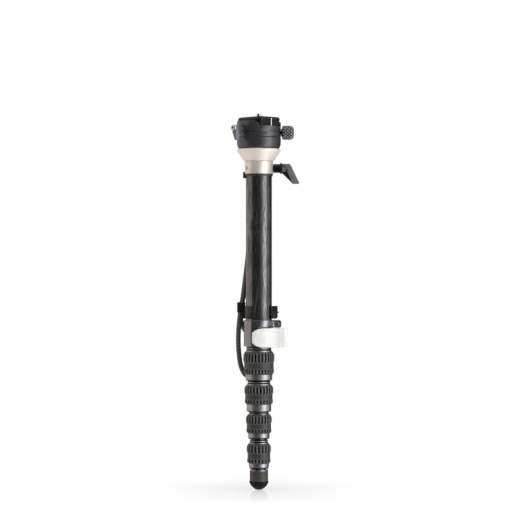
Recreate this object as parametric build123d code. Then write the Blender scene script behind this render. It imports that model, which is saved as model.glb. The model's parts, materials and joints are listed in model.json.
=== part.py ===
"""Folded six-section camera monopod with a flip lock, twist locks, panning plate clamp and wrist strap.

Millimetres, +Z up. The origin is the foot's tip on the leg's axis. The view that the sizes were read from
looks along +Y, with +X to the right. Angles called bearings are measured round the leg from -Y towards +X.
"""
import os
from dataclasses import dataclass
from math import acos, cos, degrees, hypot, pi, radians, sin, tan

from build123d import *

# Fits and cuts
glue_gap = 0.03        # bonded or screwed pieces that never move on each other
running_gap = 0.08     # shaft in its bore
moving_gap = 0.3       # pieces of different bodies that pass each other
overrun = 2.0          # how far a cut runs past what it cuts
edge_break = 0.5       # small chamfer on turned edges

# Leg tubes, from the top one down
tube_diameters = (35.0, 31.2, 27.6, 24.2, 21.0, 18.0)
tube_wall = 1.1
bush_length = 12.0
bush_flange = 1.5
nest_step = 4.0        # each inner tube ends this much below the one round it

# Foot
foot_pad_height = 11.4
foot_pad_radius = 12.9
foot_flat_radius = 3.0
foot_dome_height = 10.2
foot_belly_radius = 9.0        # the dome passes through this radius at this height
foot_belly_height = 4.2
foot_plug_radius = 7.0
foot_plug_height = 5.0
foot_holder_height = 15.6
foot_holder_radius = 12.3
foot_holder_web = 1.6
foot_holder_groove = 0.6
foot_gap = 3.2

# Twist locks, one number for each from the lowest, lock 4, up to lock 1
lock_band_heights = (5.1, 5.8, 8.8, 7.1)         # bare metal below the rubber
lock_grip_heights = (26.4, 24.8, 25.4, 30.2)     # ribbed rubber
lock_ring_heights = (5.1, 3.7, 5.8, 6.3)         # ferrule ring above the rubber
lock_gaps_above = (2.9, 1.3, 1.3, 0.6)           # air between a lock and what is above it
lock_walls = (2.9, 2.4, 2.8, 2.4)                # nut's outside over the outer tube's outside


@dataclass
class TwistLock:
    """One twist lock's column of the tables above."""

    number: int
    band_height: float
    grip_height: float
    ring_height: float
    gap_above: float
    wall: float


lock_tables = (lock_band_heights, lock_grip_heights, lock_ring_heights, lock_gaps_above, lock_walls)
lock_columns = zip((4, 3, 2, 1), *lock_tables)
twist_locks = [TwistLock(*column) for column in lock_columns]
ferrule_wall_share = 0.42     # of a lock's wall
ferrule_lip = 1.5
ring_step = 0.6               # the ferrule's ring inside the nut's outside
ring_groove_depth = 0.5
ring_groove_height = 0.8
ring_groove_share = 0.38      # height of the groove in the ring
collet_height = 10.0
collet_taper = 0.9
collet_slit = 1.0
collet_slits = 6
collet_slit_share = 0.7       # of the collet's height
nut_lip = 2.5
crest_rise = 2.6              # upper row of ribs over the nut
lower_crest_rise = 2.0
waist_rise = 0.9
grip_edge_rise = 0.5
grip_rounding = 0.8
rib_grooves = 24
rib_groove_width = 2.3
rib_groove_rise = 1.1         # groove bottom over the nut
# Heights in the grip, from its lower edge: crest and waist corners, then the two rows of grooves
grip_profile_shares = (0.08, 0.19, 0.28, 0.52, 0.62, 0.86)
upper_groove_shares = (0.54, 0.94)
lower_groove_shares = (0.05, 0.24)

# Flip lock casting on the top tube
casting_radius = 20.2
casting_band_height = 24.1
casting_slit = 1.0
casting_slit_start = 8.7      # the slit begins this far left of the axis
casting_ring_height = 10.2
casting_shoulder = 2.0
casting_chamfer = 0.6
liner_wall = 0.9
liner_setback = 1.0
upper_ear_reach = 30.0
upper_ear_width = 12.0
ear_rounding = 3.0
upper_split = 1.5
pinch_screw_x = 24.0
pinch_screw_radius = 2.0
pinch_head_radius = 3.4
pinch_head_height = 3.0
pinch_socket_radius = 1.7
pinch_socket_depth = 2.0
lower_ear_height = 18.0
lower_ear_margin = 5.0        # ear beyond the bolt's axis
lower_split = 2.0
front_ear_wall = 3.6
rear_ear_wall = 4.5

# Flip lever, its pin and its eye bolt
lever_height = 25.4
lever_thickness = 3.2
lever_standoff = 0.6          # air between the lever and the casting
lever_tip_x = 8.8             # tip, left of the axis
lever_pivot_x = 31.3
lever_pivot_y = 8.0           # pin, in front of the axis
lever_hub_radius = 7.3
lever_end_rounding = 6.2      # hub seen from above
lever_taper_run = 10.0         # the left end's taper, along the lever and across it
lever_taper_rise = 6.0
lever_taper_rounding = 18.0
lever_tip_rounding = 5.0
lever_end_hollow = 1.2
lever_panel_depth = 0.7
lever_panel_margin = 5.2
lever_panel_rounding = 4.0
lever_ear_gap = 0.8
lever_pin_radius = 2.0
eye_radius = 4.2
eye_height = 6.0
eye_side_gap = 0.4
eye_shank_radius = 2.4
eye_hole_gap = 0.15
flip_nut_radius = 5.2
flip_nut_length = 5.5
flip_nut_sides = 6

# Keeper clip round the tube above the casting
keeper_gap_below = 1.9
keeper_height = 17.0
keeper_wall = 1.8
keeper_mouth_left = 10.0      # mouth edge, left of the axis
keeper_mouth_right = 16.0
keeper_lug_standoff = 7.7      # from the tube's side
keeper_lug_reach = tube_diameters[0] / 2 + keeper_lug_standoff
keeper_lug_width = 9.0
keeper_lug_rounding = 3.0
keeper_pin_radius = 1.0
keeper_pin_reach = 1.4
keeper_tab_standoff = 5.2
keeper_tab_reach = tube_diameters[0] / 2 + keeper_tab_standoff
keeper_tab_width = 3.0
keeper_tab_height = 9.4

# Top collar with its trim ring
top_tube_shown = 192.7        # top tube between the casting and the trim ring
trim_ring_height = 3.2
collar_radius = 18.9
collar_height = 17.0
collar_plug_length = 14.0
collar_plug_bore = 11.4
spindle_radius = 9.0
spindle_shoulder = 2.2
retainer_radius = 10.6
retainer_thickness = 2.2
retainer_screw_radius = 3.0
retainer_screw_length = 12.0
collar_screw_bearing = -58.0
collar_screw_radius = 2.5
collar_screw_depth = 1.5

# Platform lock: stem and hanging lever on the right of the collar
lock_axis_drop = 9.7          # below the collar's upper face
lock_stem_radius = 6.0
lock_stem_length = 9.4         # from the collar's side
lock_stem_reach = collar_radius + lock_stem_length
lock_flange_radius = 7.4
lock_flange_thickness = 2.9
lock_screw_radius = 3.0
lock_blade_thickness = 9.6
lock_blade_rise = 6.0         # blade's top over the axis
lock_blade_drop = 20.6        # blade's tip below the axis
lock_blade_root_drop = 6.4    # blade's root on the flange, below the axis
lock_blade_lean = 27.0
lock_blade_width = 13.0
lock_blade_rounding = 2.5

# Platform
platform_foot_radius = 19.8
platform_rim_radius = 29.5
platform_cone_height = 13.7
platform_rim_height = 1.1
platform_chamfer = 1.6
head_screw_radius = 4.76
head_screw_length = 24.0
head_screw_below = 10.0       # of it, in the platform

# Head base, a bowl
head_radius = 29.4
bowl_foot_inset = 3.8
bowl_foot_radius = head_radius - bowl_foot_inset
bowl_height = 14.9
bowl_swell_height = 9.4
bowl_mid_inset = 1.5
bowl_mid_radius = head_radius - bowl_mid_inset      # the bowl's side passes here
bowl_mid_height = 4.9
spigot_radius = 11.0
spigot_height = 3.1
bearing_inset = 3.4
bearing_width = 6.0
bearing_outer_radius = head_radius - bearing_inset
bearing_inner_radius = bearing_outer_radius - bearing_width
bearing_thickness = 1.25
bearing_seat = 1.1
pan_plate_radius = 14.0
pan_plate_thickness = 5.3
pan_plate_holes = 4
pan_plate_hole_radius = 1.6
pan_plate_hole_circle = 8.0

# Pan body and its two jaws
clamp_turn = -48.0            # of the clamp about the leg, seen from above
pan_gap = 0.3
pan_body_height = 14.8
pan_flange = 2.6
pan_line_rise = 6.2           # groove line over the body's lower face
pan_line_height = 1.0
pan_line_depth = 1.0
jaw_seat_y = 17.0             # flat that the moving jaw slides away from
jaw_seat_rise = 7.1           # ledge under the moving jaw, over the body's lower face
jaw_height_over_floor = 6.9
jaw_end_run = 8.5
jaw_end_drop = 6.0
guide_pin_radius = 2.0
guide_pin_x = 12.0
guide_pin_in = 5.0
guide_pin_out = 8.0

# Clamp screw and hanging clamp lever
clamp_axis_drop = 3.4         # below the clamp's floor
clamp_screw_radius = 2.0
clamp_screw_far_end = 24.0
clamp_head_radius = 4.3
clamp_head_height = 2.5
clamp_head_socket_radius = 2.0
clamp_head_socket_depth = 1.5
spot_face_depth = 0.5
spot_face_radius = 6.0
clamp_neck_radius = 3.2
clamp_lever_standoff = 7.0     # from the head's side
clamp_lever_thickness = 8.0
clamp_lever_start = head_radius + clamp_lever_standoff
clamp_lever_end = clamp_lever_start + clamp_lever_thickness
clamp_lever_half_width = 4.25
clamp_lever_rise = 3.4
clamp_lever_drop = 16.5
clamp_lever_tip = 2.8
clamp_lever_shoulder = 3.2
clamp_lever_rounding = 0.8

# Pan knob
pan_knob_rise = 6.6           # axis over the pan body's lower face
pan_knob_radius = 9.6
pan_knob_standoff = 1.8        # from the head's side
pan_knob_length = 15.7
pan_knob_start = head_radius + pan_knob_standoff
pan_knob_end = pan_knob_start + pan_knob_length
pan_knob_dome = 2.4
pan_knob_neck_radius = 5.2
pan_knob_neck_length = 1.5
pan_knob_screw_radius = 2.5
pan_knob_grooves = 22
pan_knob_groove_width = 1.3

# Lens plate
plate_length = 46.0
plate_half_width = 19.0
plate_gap = 0.3
plate_height = 11.0
plate_foot_height = 1.5
plate_neck_half_width = 15.5
plate_deck_height = 3.9
plate_rounding = 4.0
plate_chamfer = 0.8
plate_slot_length = 20.0
plate_slot_width = 7.0
plate_recess_length = 31.0
plate_recess_width = 16.0
plate_recess_depth = 4.8
pad_thickness = 1.0
pad_inset = 1.5
camera_screw_radius = 3.175
camera_neck_radius = 2.6      # plain neck below the thread, through the slot
camera_screw_reach = 5.0
camera_head_radius = 7.0
camera_head_height = 4.0
camera_head_slot = 1.4
stop_pin_radius = 1.8
stop_pin_offset = 2.0
stop_pin_depth = 3.0
stop_notch_radius = 2.6
stop_pin_setback = 1.6
stop_pin_drop = 2.0           # pins below the plate, in the troughs
plate_travel = 3.0            # each way along the groove

# Wrist strap
cord_radius = 3.4
lug_gap = 0.03
lug_wall = 2.4
lug_height = 8.0
lug_overlap = 2.5             # of the lug, up the collar
lug_start_bearing = -84.0
lug_end_bearing = -178.0
lug_socket_radius = 4.4
lug_socket_bearings = (-145.0, -170.0)
lug_socket_standoff = 0.5
lug_socket_height = 4.2
slider_width = 11.2
slider_depth = 19.4
slider_height = 14.5
slider_rounding = 1.6
slider_hole_gap = 0.3
# Straight stretch of the near leg through the slider, from above to below, and the far leg's shift
slider_top = (-22.0, 12.4, 254.0)
slider_foot = (-25.6, 11.6, 234.0)
leg_shift = 8.4
slider_outset = 1.1           # slider's middle, outwards of the legs
arc_run_share = 0.45          # of the shorter run beside a corner, taken by the corner's arc
leg_drop = 27.5               # first straight run of each leg below its socket
# The cord's other corners: near leg down to the slider, loop below it, far leg up to its socket
near_leg = (
    (-12.2, 18.8, 358.0),
    (-13.2, 18.0, 330.0),
    (-16.2, 15.6, 300.0),
    (-19.4, 13.6, 274.0),
)
loop = (
    (-27.4, 10.4, 214.0),
    (-27.9, 11.0, 196.0),
    (-26.8, 13.0, 180.0),
    (-24.6, 15.6, 164.5),
    (-19.6, 20.0, 153.1),
    (-10.5, 26.6, 147.6),
    (-0.4, 33.4, 149.0),
    (7.2, 38.6, 157.2),
    (10.4, 41.0, 169.4),
    (8.6, 40.4, 183.0),
    (1.4, 37.0, 193.6),
    (-9.0, 31.6, 201.6),
    (-18.2, 26.2, 211.0),
    (-23.8, 22.4, 222.2),
)
far_leg = (
    (-17.0, 22.6, 274.0),
    (-10.5, 23.6, 300.0),
    (-6.0, 23.2, 330.0),
    (-4.2, 22.6, 358.0),
)


def stacked_heights():
    """Heights of the main seats, added up from the foot."""
    level = {"holder": foot_pad_height}
    height = foot_pad_height + foot_holder_height + foot_gap
    for lock in twist_locks:
        level[f"nut_{lock.number}"] = height
        height += lock.band_height + lock.grip_height
        level[f"nut_top_{lock.number}"] = height
        height += moving_gap + lock.ring_height
        level[f"ring_top_{lock.number}"] = height
        height += lock.gap_above
    level["casting"] = height
    level["slit"] = level["casting"] + casting_band_height
    level["casting_ring"] = level["slit"] + casting_slit
    level["casting_top"] = level["casting_ring"] + casting_ring_height
    level["trim"] = level["casting_top"] + top_tube_shown
    level["collar"] = level["trim"] + trim_ring_height
    level["platform"] = level["collar"] + collar_height
    level["rim"] = level["platform"] + platform_cone_height
    level["bowl"] = level["rim"] + platform_rim_height + platform_chamfer
    level["bowl_top"] = level["bowl"] + bowl_height
    level["pan"] = level["bowl_top"] + pan_gap
    level["floor"] = level["pan"] + pan_body_height
    level["plate"] = level["floor"] + plate_gap
    level["deck"] = level["plate"] + plate_height - plate_deck_height
    level["plate_top"] = level["plate"] + plate_height
    level["pad_top"] = level["plate_top"] + pad_thickness
    return level


level = stacked_heights()
tube_radii = [diameter / 2 for diameter in tube_diameters]
bore_radii = [radius - tube_wall for radius in tube_radii]


def turned(*corners):
    """A ring or disc turned about Z from corners of (radius, height) or (radius, height, rounding)."""
    points = [corner[:2] for corner in corners]
    roundings = [corner[2] if len(corner) > 2 else 0 for corner in corners]
    if any(roundings):
        outline = FilletPolyline(*points, radius=roundings, close=True)
    else:
        outline = Polyline(*points, close=True)
    return revolve(make_face(Plane.XZ * outline), Axis.Z)


def ring(outer_radius, inner_radius, bottom, top):
    """A plain tube between two heights."""
    return turned((inner_radius, bottom), (outer_radius, bottom), (outer_radius, top), (inner_radius, top))


def rod(start, end, radius):
    """A round rod from one point to another."""
    start, end = Vector(*start), Vector(*end)
    along = end - start
    plane = Plane(origin=start, z_dir=along.normalized())
    return extrude(plane * Circle(radius), along.length)


def block(low, high):
    """A box between two corners."""
    size = [top - bottom for bottom, top in zip(low, high)]
    middle = [(top + bottom) / 2 for bottom, top in zip(low, high)]
    return Pos(*middle) * Box(*size)


def at_bearing(radius, bearing, height=0):
    """The point at a bearing round the leg."""
    return (radius * sin(radians(bearing)), -radius * cos(radians(bearing)), height)


def placed_by_clamp(shape):
    """Turn a piece of the clamp from its own axes, groove along X and lever towards -Y, to its place."""
    return Rot(0, 0, clamp_turn) * shape


# Foot and leg tubes


def make_foot_pad():
    """Rubber dome with a small flat at the tip and a plug up into the holder."""
    dome = ThreePointArc(
        (foot_flat_radius, 0), (foot_belly_radius, foot_belly_height), (foot_pad_radius, foot_dome_height)
    )
    plug_top = foot_pad_height + foot_plug_height
    rest = Polyline(
        (foot_pad_radius, foot_dome_height),
        (foot_pad_radius, foot_pad_height),
        (foot_plug_radius, foot_pad_height),
        (foot_plug_radius, plug_top),
        (0, plug_top),
        (0, 0),
        (foot_flat_radius, 0),
    )
    return revolve(make_face(Plane.XZ * (dome + rest)), Axis.Z)


def make_foot_holder():
    """Aluminium cup bonded on the lowest tube, with a socket below for the rubber's plug."""
    low = level["holder"]
    high = low + foot_holder_height
    socket = foot_plug_radius + glue_gap
    socket_top = low + foot_plug_height + glue_gap
    seat = tube_radii[5] + glue_gap
    groove = high - foot_holder_height / 3
    body = turned(
        (socket, low),
        (foot_holder_radius, low),
        (foot_holder_radius, high, edge_break),
        (seat, high),
        (seat, socket_top + foot_holder_web),
        (0, socket_top + foot_holder_web),
        (0, socket_top),
        (socket, socket_top),
    )
    outside = foot_holder_radius + overrun
    return body - ring(outside, foot_holder_radius - foot_holder_groove, groove, groove + foot_holder_groove)


def collet_top(number):
    """Height where a lock's collet meets its ferrule."""
    return level[f"nut_{number}"] + nut_lip + moving_gap + collet_height


def tube_bottom(index):
    """Lower end of a tube, counted from the top one as 0."""
    if index == 0:
        return level["casting_ring"] + casting_shoulder
    if index == 5:
        return level["holder"] + foot_plug_height + glue_gap + foot_holder_web
    return collet_top(index) + ferrule_lip


def bush_top(index):
    """Top of the guide bush on an inner tube."""
    return level["collar"] - collar_plug_length - nest_step * index


def tube_top(index):
    """Upper end of a tube."""
    return level["collar"] if index == 0 else bush_top(index) - bush_flange


def make_tube(index):
    """Carbon tube of one leg section."""
    return ring(tube_radii[index], bore_radii[index], tube_bottom(index), tube_top(index))


def make_bush(index):
    """Guide bush on the top end of an inner tube: a thin sleeve with a flange over the tube's end."""
    top = bush_top(index)
    outside = bore_radii[index - 1] - running_gap
    sleeve = tube_radii[index] + glue_gap
    return turned(
        (sleeve, top - bush_length),
        (outside, top - bush_length),
        (outside, top),
        (bore_radii[index], top),
        (bore_radii[index], top - bush_flange),
        (sleeve, top - bush_flange),
    )


# Twist locks


def nut_radius(lock):
    """Outside of a lock's nut and of its bare band."""
    return tube_radii[lock.number] + lock.wall


def ferrule_radius(lock):
    """Outside of the ferrule's threaded sleeve."""
    return tube_radii[lock.number] + lock.wall * ferrule_wall_share


def make_ferrule(lock):
    """Threaded sleeve on the end of the outer tube, with the ring that shows above the nut."""
    outer_tube = tube_radii[lock.number] + glue_gap
    passage = tube_radii[lock.number + 1] + moving_gap
    sleeve = ferrule_radius(lock)
    shown = nut_radius(lock) - ring_step
    low = collet_top(lock.number)
    ring_low = level[f"nut_top_{lock.number}"] + moving_gap
    ring_high = level[f"ring_top_{lock.number}"]
    body = turned(
        (passage, low),
        (sleeve, low),
        (sleeve, ring_low),
        (shown, ring_low),
        (shown, ring_high, edge_break),
        (outer_tube, ring_high),
        (outer_tube, low + ferrule_lip),
        (passage, low + ferrule_lip),
    )
    groove = ring_low + (ring_high - ring_low) * ring_groove_share
    return body - ring(shown + overrun, shown - ring_groove_depth, groove, groove + ring_groove_height)


def collet_bottom(number):
    """Lower end of a lock's collet."""
    return collet_top(number) - collet_height


def cone_top(number):
    """Height where a collet's cone ends."""
    return collet_top(number) - collet_height / 3


def make_collet(lock):
    """Slit plastic cone that the nut squeezes on the inner tube."""
    inside = tube_radii[lock.number + 1] + running_gap
    low, high = collet_bottom(lock.number), collet_top(lock.number)
    outside = ferrule_radius(lock)
    body = turned(
        (inside, low),
        (outside - collet_taper, low),
        (outside, cone_top(lock.number)),
        (outside, high),
        (inside, high),
    )
    slit = Pos(outside, 0, low) * Box(
        2 * (outside - inside) + overrun, collet_slit, 2 * collet_height * collet_slit_share
    )
    return body - [Rot(0, 0, turn * 360 / collet_slits) * slit for turn in range(collet_slits)]


def make_nut(lock):
    """Metal nut: bare band below, bore over the ferrule, and a cone inside that closes the collet."""
    low = level[f"nut_{lock.number}"]
    high = level[f"nut_top_{lock.number}"]
    outside = nut_radius(lock)
    bore = ferrule_radius(lock) + running_gap
    wide = ferrule_radius(lock) + moving_gap
    passage = tube_radii[lock.number + 1] + moving_gap
    cone_low = wide - collet_taper
    seat = collet_bottom(lock.number) - moving_gap
    return turned(
        (passage, low),
        (outside, low, edge_break),
        (outside, high),
        (bore, high),
        (bore, collet_top(lock.number)),
        (wide, collet_top(lock.number)),
        (wide, cone_top(lock.number)),
        (cone_low, seat),
        (passage, seat),
    )


def grip_bottom(lock):
    """Lower edge of a lock's rubber."""
    return level[f"nut_{lock.number}"] + lock.band_height


def grip_outline(lock):
    """Corners of the rubber's side, from its lower edge up: low crest, waist and high crest."""
    base = nut_radius(lock)
    low = grip_bottom(lock)
    rises = (lower_crest_rise, lower_crest_rise, waist_rise, waist_rise, crest_rise, crest_rise)
    corners = [(base + grip_edge_rise, low)]
    for share, rise in zip(grip_profile_shares, rises):
        corners.append((base + rise, low + share * lock.grip_height, grip_rounding))
    corners.append((base + grip_edge_rise, low + lock.grip_height))
    return corners


def make_grip(lock):
    """Rubber sleeve with two rows of upright grooves and a smooth waist between them."""
    seat = nut_radius(lock) + glue_gap
    low = grip_bottom(lock)
    sleeve = turned((seat, low), *grip_outline(lock), (seat, low + lock.grip_height))
    depth = crest_rise + overrun
    middle = nut_radius(lock) + rib_groove_rise + depth / 2
    cutters = []
    for shares in (upper_groove_shares, lower_groove_shares):
        bottom, top = (low + share * lock.grip_height for share in shares)
        bar = Pos(middle, 0, (bottom + top) / 2) * Box(depth, rib_groove_width, top - bottom)
        cutters += [Rot(0, 0, turn * 360 / rib_grooves) * bar for turn in range(rib_grooves)]
    return sleeve - cutters


# Flip lock


def casting_bore():
    """Bore of the clamping band, round the liner."""
    return tube_radii[1] + running_gap + liner_wall + glue_gap


def band_middle():
    """Middle height of the clamping band, where the eye bolt runs."""
    return level["casting"] + casting_band_height / 2


def ear_front():
    """Front face of the front ear, behind the lever's hub."""
    return -lever_pivot_y + lever_hub_radius + lever_ear_gap


def split_front():
    """Front side of the split between the lower ears."""
    return ear_front() + front_ear_wall


def ear_back():
    """Back face of the rear ear."""
    return split_front() + lower_split + rear_ear_wall


def ear_face(reach, low, high):
    """Outline of an ear in X and Z, rounded at its outer corners."""
    corners = (casting_bore(), low), (reach, low), (reach, high), (casting_bore(), high)
    line = FilletPolyline(*corners, radius=(0, ear_rounding, ear_rounding, 0), close=True)
    return make_face(Plane.XZ * line)


def make_upper_ear():
    """Ear on the right of the ring, which the pinch screw draws together."""
    face = ear_face(upper_ear_reach, level["casting_ring"], level["casting_top"])
    return extrude(face, upper_ear_width / 2, both=True)


def make_lower_ears():
    """Ears behind the lever in one block, which the band's split parts later."""
    half = lower_ear_height / 2
    face = ear_face(lever_pivot_x + lower_ear_margin, band_middle() - half, band_middle() + half)
    return Pos(0, ear_front(), 0) * extrude(face, ear_front() - ear_back())


def pinch_axis():
    """Height of the pinch screw."""
    return (level["casting_ring"] + level["casting_top"]) / 2


def pinch_rod(start, end, radius):
    """A rod on the pinch screw's axis, between two places along Y."""
    return rod((pinch_screw_x, start, pinch_axis()), (pinch_screw_x, end, pinch_axis()), radius)


def make_flip_lock_body():
    """Casting: a ring pinched on the top tube and, below a slit, a band that the lever closes."""
    low, high = level["casting"], level["casting_top"]
    slit, upper = level["slit"], level["casting_ring"]
    seat = tube_radii[0] + glue_gap
    body = turned(
        (0, low),
        (casting_radius, low, casting_chamfer),
        (casting_radius, high, casting_chamfer),
        (0, high),
    )
    body += make_upper_ear() + make_lower_ears()
    body -= rod((0, 0, low - overrun), (0, 0, slit + casting_slit / 2), casting_bore())
    body -= rod((0, 0, slit), (0, 0, high), bore_radii[0])
    body -= rod((0, 0, upper + casting_shoulder), (0, 0, high + overrun), seat)
    far = lever_pivot_x + lever_hub_radius + overrun
    body -= block((-casting_slit_start, -far, slit), (far, far, upper))
    body -= block((0, split_front(), low - overrun), (far, split_front() + lower_split, slit))
    body -= block((0, -upper_split / 2, upper), (far, upper_split / 2, high + overrun))
    hole = eye_shank_radius + eye_hole_gap
    body -= rod((lever_pivot_x, -far, band_middle()), (lever_pivot_x, far, band_middle()), hole)
    front = -upper_ear_width / 2
    body -= pinch_rod(front - overrun, -front + overrun, pinch_screw_radius + glue_gap)
    return body - pinch_rod(front - overrun, front + pinch_head_height, pinch_head_radius + glue_gap)


def make_pinch_screw():
    """Socket cap screw through the upper ears."""
    front = -upper_ear_width / 2
    head_end = front + pinch_head_height
    screw = pinch_rod(front, head_end, pinch_head_radius) + pinch_rod(head_end, -front, pinch_screw_radius)
    face = Plane(origin=(pinch_screw_x, front, pinch_axis()), x_dir=(1, 0, 0), z_dir=(0, -1, 0))
    return screw - extrude(face * RegularPolygon(pinch_socket_radius, 6), -pinch_socket_depth)


def make_liner():
    """Split plastic sleeve between the band and the second tube."""
    low = level["casting"] + liner_setback
    high = level["slit"] - moving_gap
    inside = tube_radii[1] + running_gap
    sleeve = ring(inside + liner_wall, inside, low, high)
    gap_low = (0, split_front(), low - overrun)
    gap_high = (casting_radius, split_front() + lower_split, high + overrun)
    return sleeve - block(gap_low, gap_high)


def lever_plan(inner_radius, outer_radius, hub_radius):
    """The lever seen from above: an arc round the casting, a straight reach and the squarish hub."""
    middle = casting_radius + lever_standoff + lever_thickness / 2
    pivot_distance = hypot(lever_pivot_x, lever_pivot_y)
    pivot_bearing = degrees(acos(lever_pivot_y / pivot_distance))
    arc_end = pivot_bearing - degrees(acos(middle / pivot_distance))
    far = 2 * outer_radius
    bearings = (-90, -45, 0, arc_end)
    sector = make_face(Polyline((0, 0), *(at_bearing(far, bearing)[:2] for bearing in bearings), close=True))
    arc = (Circle(outer_radius) - Circle(inner_radius)) & sector
    outward = Vector(*at_bearing(1, arc_end))
    start = outward * ((inner_radius + outer_radius) / 2)
    half = outward * ((outer_radius - inner_radius) / 2)
    pivot = Vector(lever_pivot_x, -lever_pivot_y)
    reach = make_face(Polyline(start - half, start + half, pivot + half * 2, pivot - half, close=True))
    hub = Pos(*pivot) * RectangleRounded(2 * hub_radius, 2 * hub_radius, lever_end_rounding)
    return arc + reach + hub


def lever_bottom():
    """Lower edge of the flip lever."""
    return level["casting_ring"] - moving_gap - lever_height


def lever_front():
    """The lever seen from the front: its left end tapers to a rounded tip."""
    low, high = lever_bottom(), lever_bottom() + lever_height
    left, right = -lever_tip_x, lever_pivot_x + lever_hub_radius
    run, rise = lever_taper_run, lever_taper_rise
    line = FilletPolyline(
        (left, low + rise),
        (left + run, low),
        (right, low),
        (right, high),
        (left + run, high),
        (left, high - rise),
        radius=(lever_tip_rounding, lever_taper_rounding, edge_break, edge_break, lever_taper_rounding,
                lever_tip_rounding),
        close=True,
    )
    return make_face(Plane.XZ * line)


def lever_panel():
    """Outline of the sunk panel in the lever's front."""
    length = lever_pivot_x + lever_hub_radius + lever_tip_x - 2 * lever_panel_margin
    middle = (lever_pivot_x + lever_hub_radius - lever_tip_x) / 2
    outline = RectangleRounded(length, lever_height - 2 * lever_panel_margin, lever_panel_rounding)
    return Plane.XZ * Pos(middle, lever_bottom() + lever_height / 2) * outline


def lever_rod(low, high, radius):
    """An upright rod on the flip lever's pivot."""
    return rod((lever_pivot_x, -lever_pivot_y, low), (lever_pivot_x, -lever_pivot_y, high), radius)


def make_flip_lever():
    """Curved cam lever that wraps round the casting's front, with a sunk panel and a slotted hub."""
    inside = casting_radius + lever_standoff
    outside = inside + lever_thickness
    far = outside + lever_pivot_y + overrun
    bottom = lever_bottom()
    plan = lever_plan(inside, outside, lever_hub_radius)
    body = Pos(0, 0, bottom) * extrude(plan, lever_height)
    body &= extrude(lever_front(), far, both=True)
    floor_plan = lever_plan(inside, outside - lever_panel_depth, lever_hub_radius - lever_panel_depth)
    skin = Pos(0, 0, bottom) * extrude(plan - floor_plan, lever_height)
    panel = extrude(lever_panel(), far)
    panel &= block((-far, -far, bottom), (far, -lever_pivot_y, bottom + lever_height))
    body -= skin & panel
    body -= make_lever_slot() + make_lever_hollow()
    return body - lever_rod(bottom - overrun, bottom + lever_height + overrun, lever_pin_radius + glue_gap)


def make_lever_slot():
    """Slot in the hub, open to the back and right, that clears the eye bolt as the lever opens."""
    half = eye_height / 2 + eye_side_gap
    room = eye_radius + eye_side_gap
    far = lever_hub_radius + overrun
    low = (lever_pivot_x - room, -lever_pivot_y - room, band_middle() - half)
    return block(low, (lever_pivot_x + far, -lever_pivot_y + far, band_middle() + half))


def make_lever_hollow():
    """Shallow hollow across the lever's right end."""
    radius = lever_height * lever_height / (8 * lever_end_hollow)
    middle = lever_pivot_x + lever_hub_radius - lever_end_hollow + radius
    height = lever_bottom() + lever_height / 2
    far = lever_pivot_y + lever_hub_radius + overrun
    return rod((middle, -far, height), (middle, far, height), radius)


def make_lever_pin():
    """Upright pin of the flip lever."""
    low, high = lever_bottom() + edge_break, lever_bottom() + lever_height - edge_break
    return lever_rod(low, high, lever_pin_radius)


def make_eye_bolt():
    """Eye round the lever's pin, with a shank back through both ears."""
    half = eye_height / 2
    eye = lever_rod(band_middle() - half, band_middle() + half, eye_radius)
    start = (lever_pivot_x, -lever_pivot_y, band_middle())
    shank = rod(start, (lever_pivot_x, ear_back() + flip_nut_length, band_middle()), eye_shank_radius)
    low, high = band_middle() - half - overrun, band_middle() + half + overrun
    return eye + shank - lever_rod(low, high, lever_pin_radius + running_gap)


def make_flip_nut():
    """Adjusting nut behind the rear ear."""
    outline = RegularPolygon(flip_nut_radius, flip_nut_sides) - Circle(eye_shank_radius + glue_gap)
    plane = Plane(origin=(lever_pivot_x, ear_back(), band_middle()), x_dir=(1, 0, 0), z_dir=(0, 1, 0))
    return extrude(plane * outline, flip_nut_length)


# Keeper clip


def make_keeper():
    """Spring clip round the back of the tube, with a thick lug on the right and a small tab on the left."""
    low = level["casting_top"] + keeper_gap_below
    high = low + keeper_height
    inside = tube_radii[0] + glue_gap
    outside = tube_radii[0] + keeper_wall
    body = ring(outside, inside, low, high)
    body -= block((-keeper_mouth_left, -outside - overrun, low), (keeper_mouth_right, 0, high))
    corners = (inside, low), (keeper_lug_reach, low), (keeper_lug_reach, high), (inside, high)
    line = FilletPolyline(*corners, radius=(0, keeper_lug_rounding, edge_break, 0), close=True)
    body += extrude(make_face(Plane.XZ * line), keeper_lug_width / 2, both=True)
    half = keeper_tab_width / 2
    body += block((-keeper_tab_reach, -half, low), (-inside, half, low + keeper_tab_height))
    middle = (low + high) / 2
    body += rod((inside, 0, middle), (keeper_lug_reach + keeper_pin_reach, 0, middle), keeper_pin_radius)
    return body - rod((0, 0, low - overrun), (0, 0, high + overrun), inside)


# Collar, platform and platform lock


def make_trim_ring():
    """Black ring under the collar, round the tube's end."""
    return ring(collar_radius, tube_radii[0] + glue_gap, level["trim"], level["collar"])


def lock_axis():
    """Height of the platform lock's screw."""
    return level["platform"] - lock_axis_drop


def lock_rod(start, end, radius):
    """A rod on the platform lock's axis, between two places along X."""
    return rod((start, 0, lock_axis()), (end, 0, lock_axis()), radius)


def shoulder_bottom():
    """Lower face of the collar's shoulder round the spindle."""
    return level["collar"] - spindle_shoulder


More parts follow.
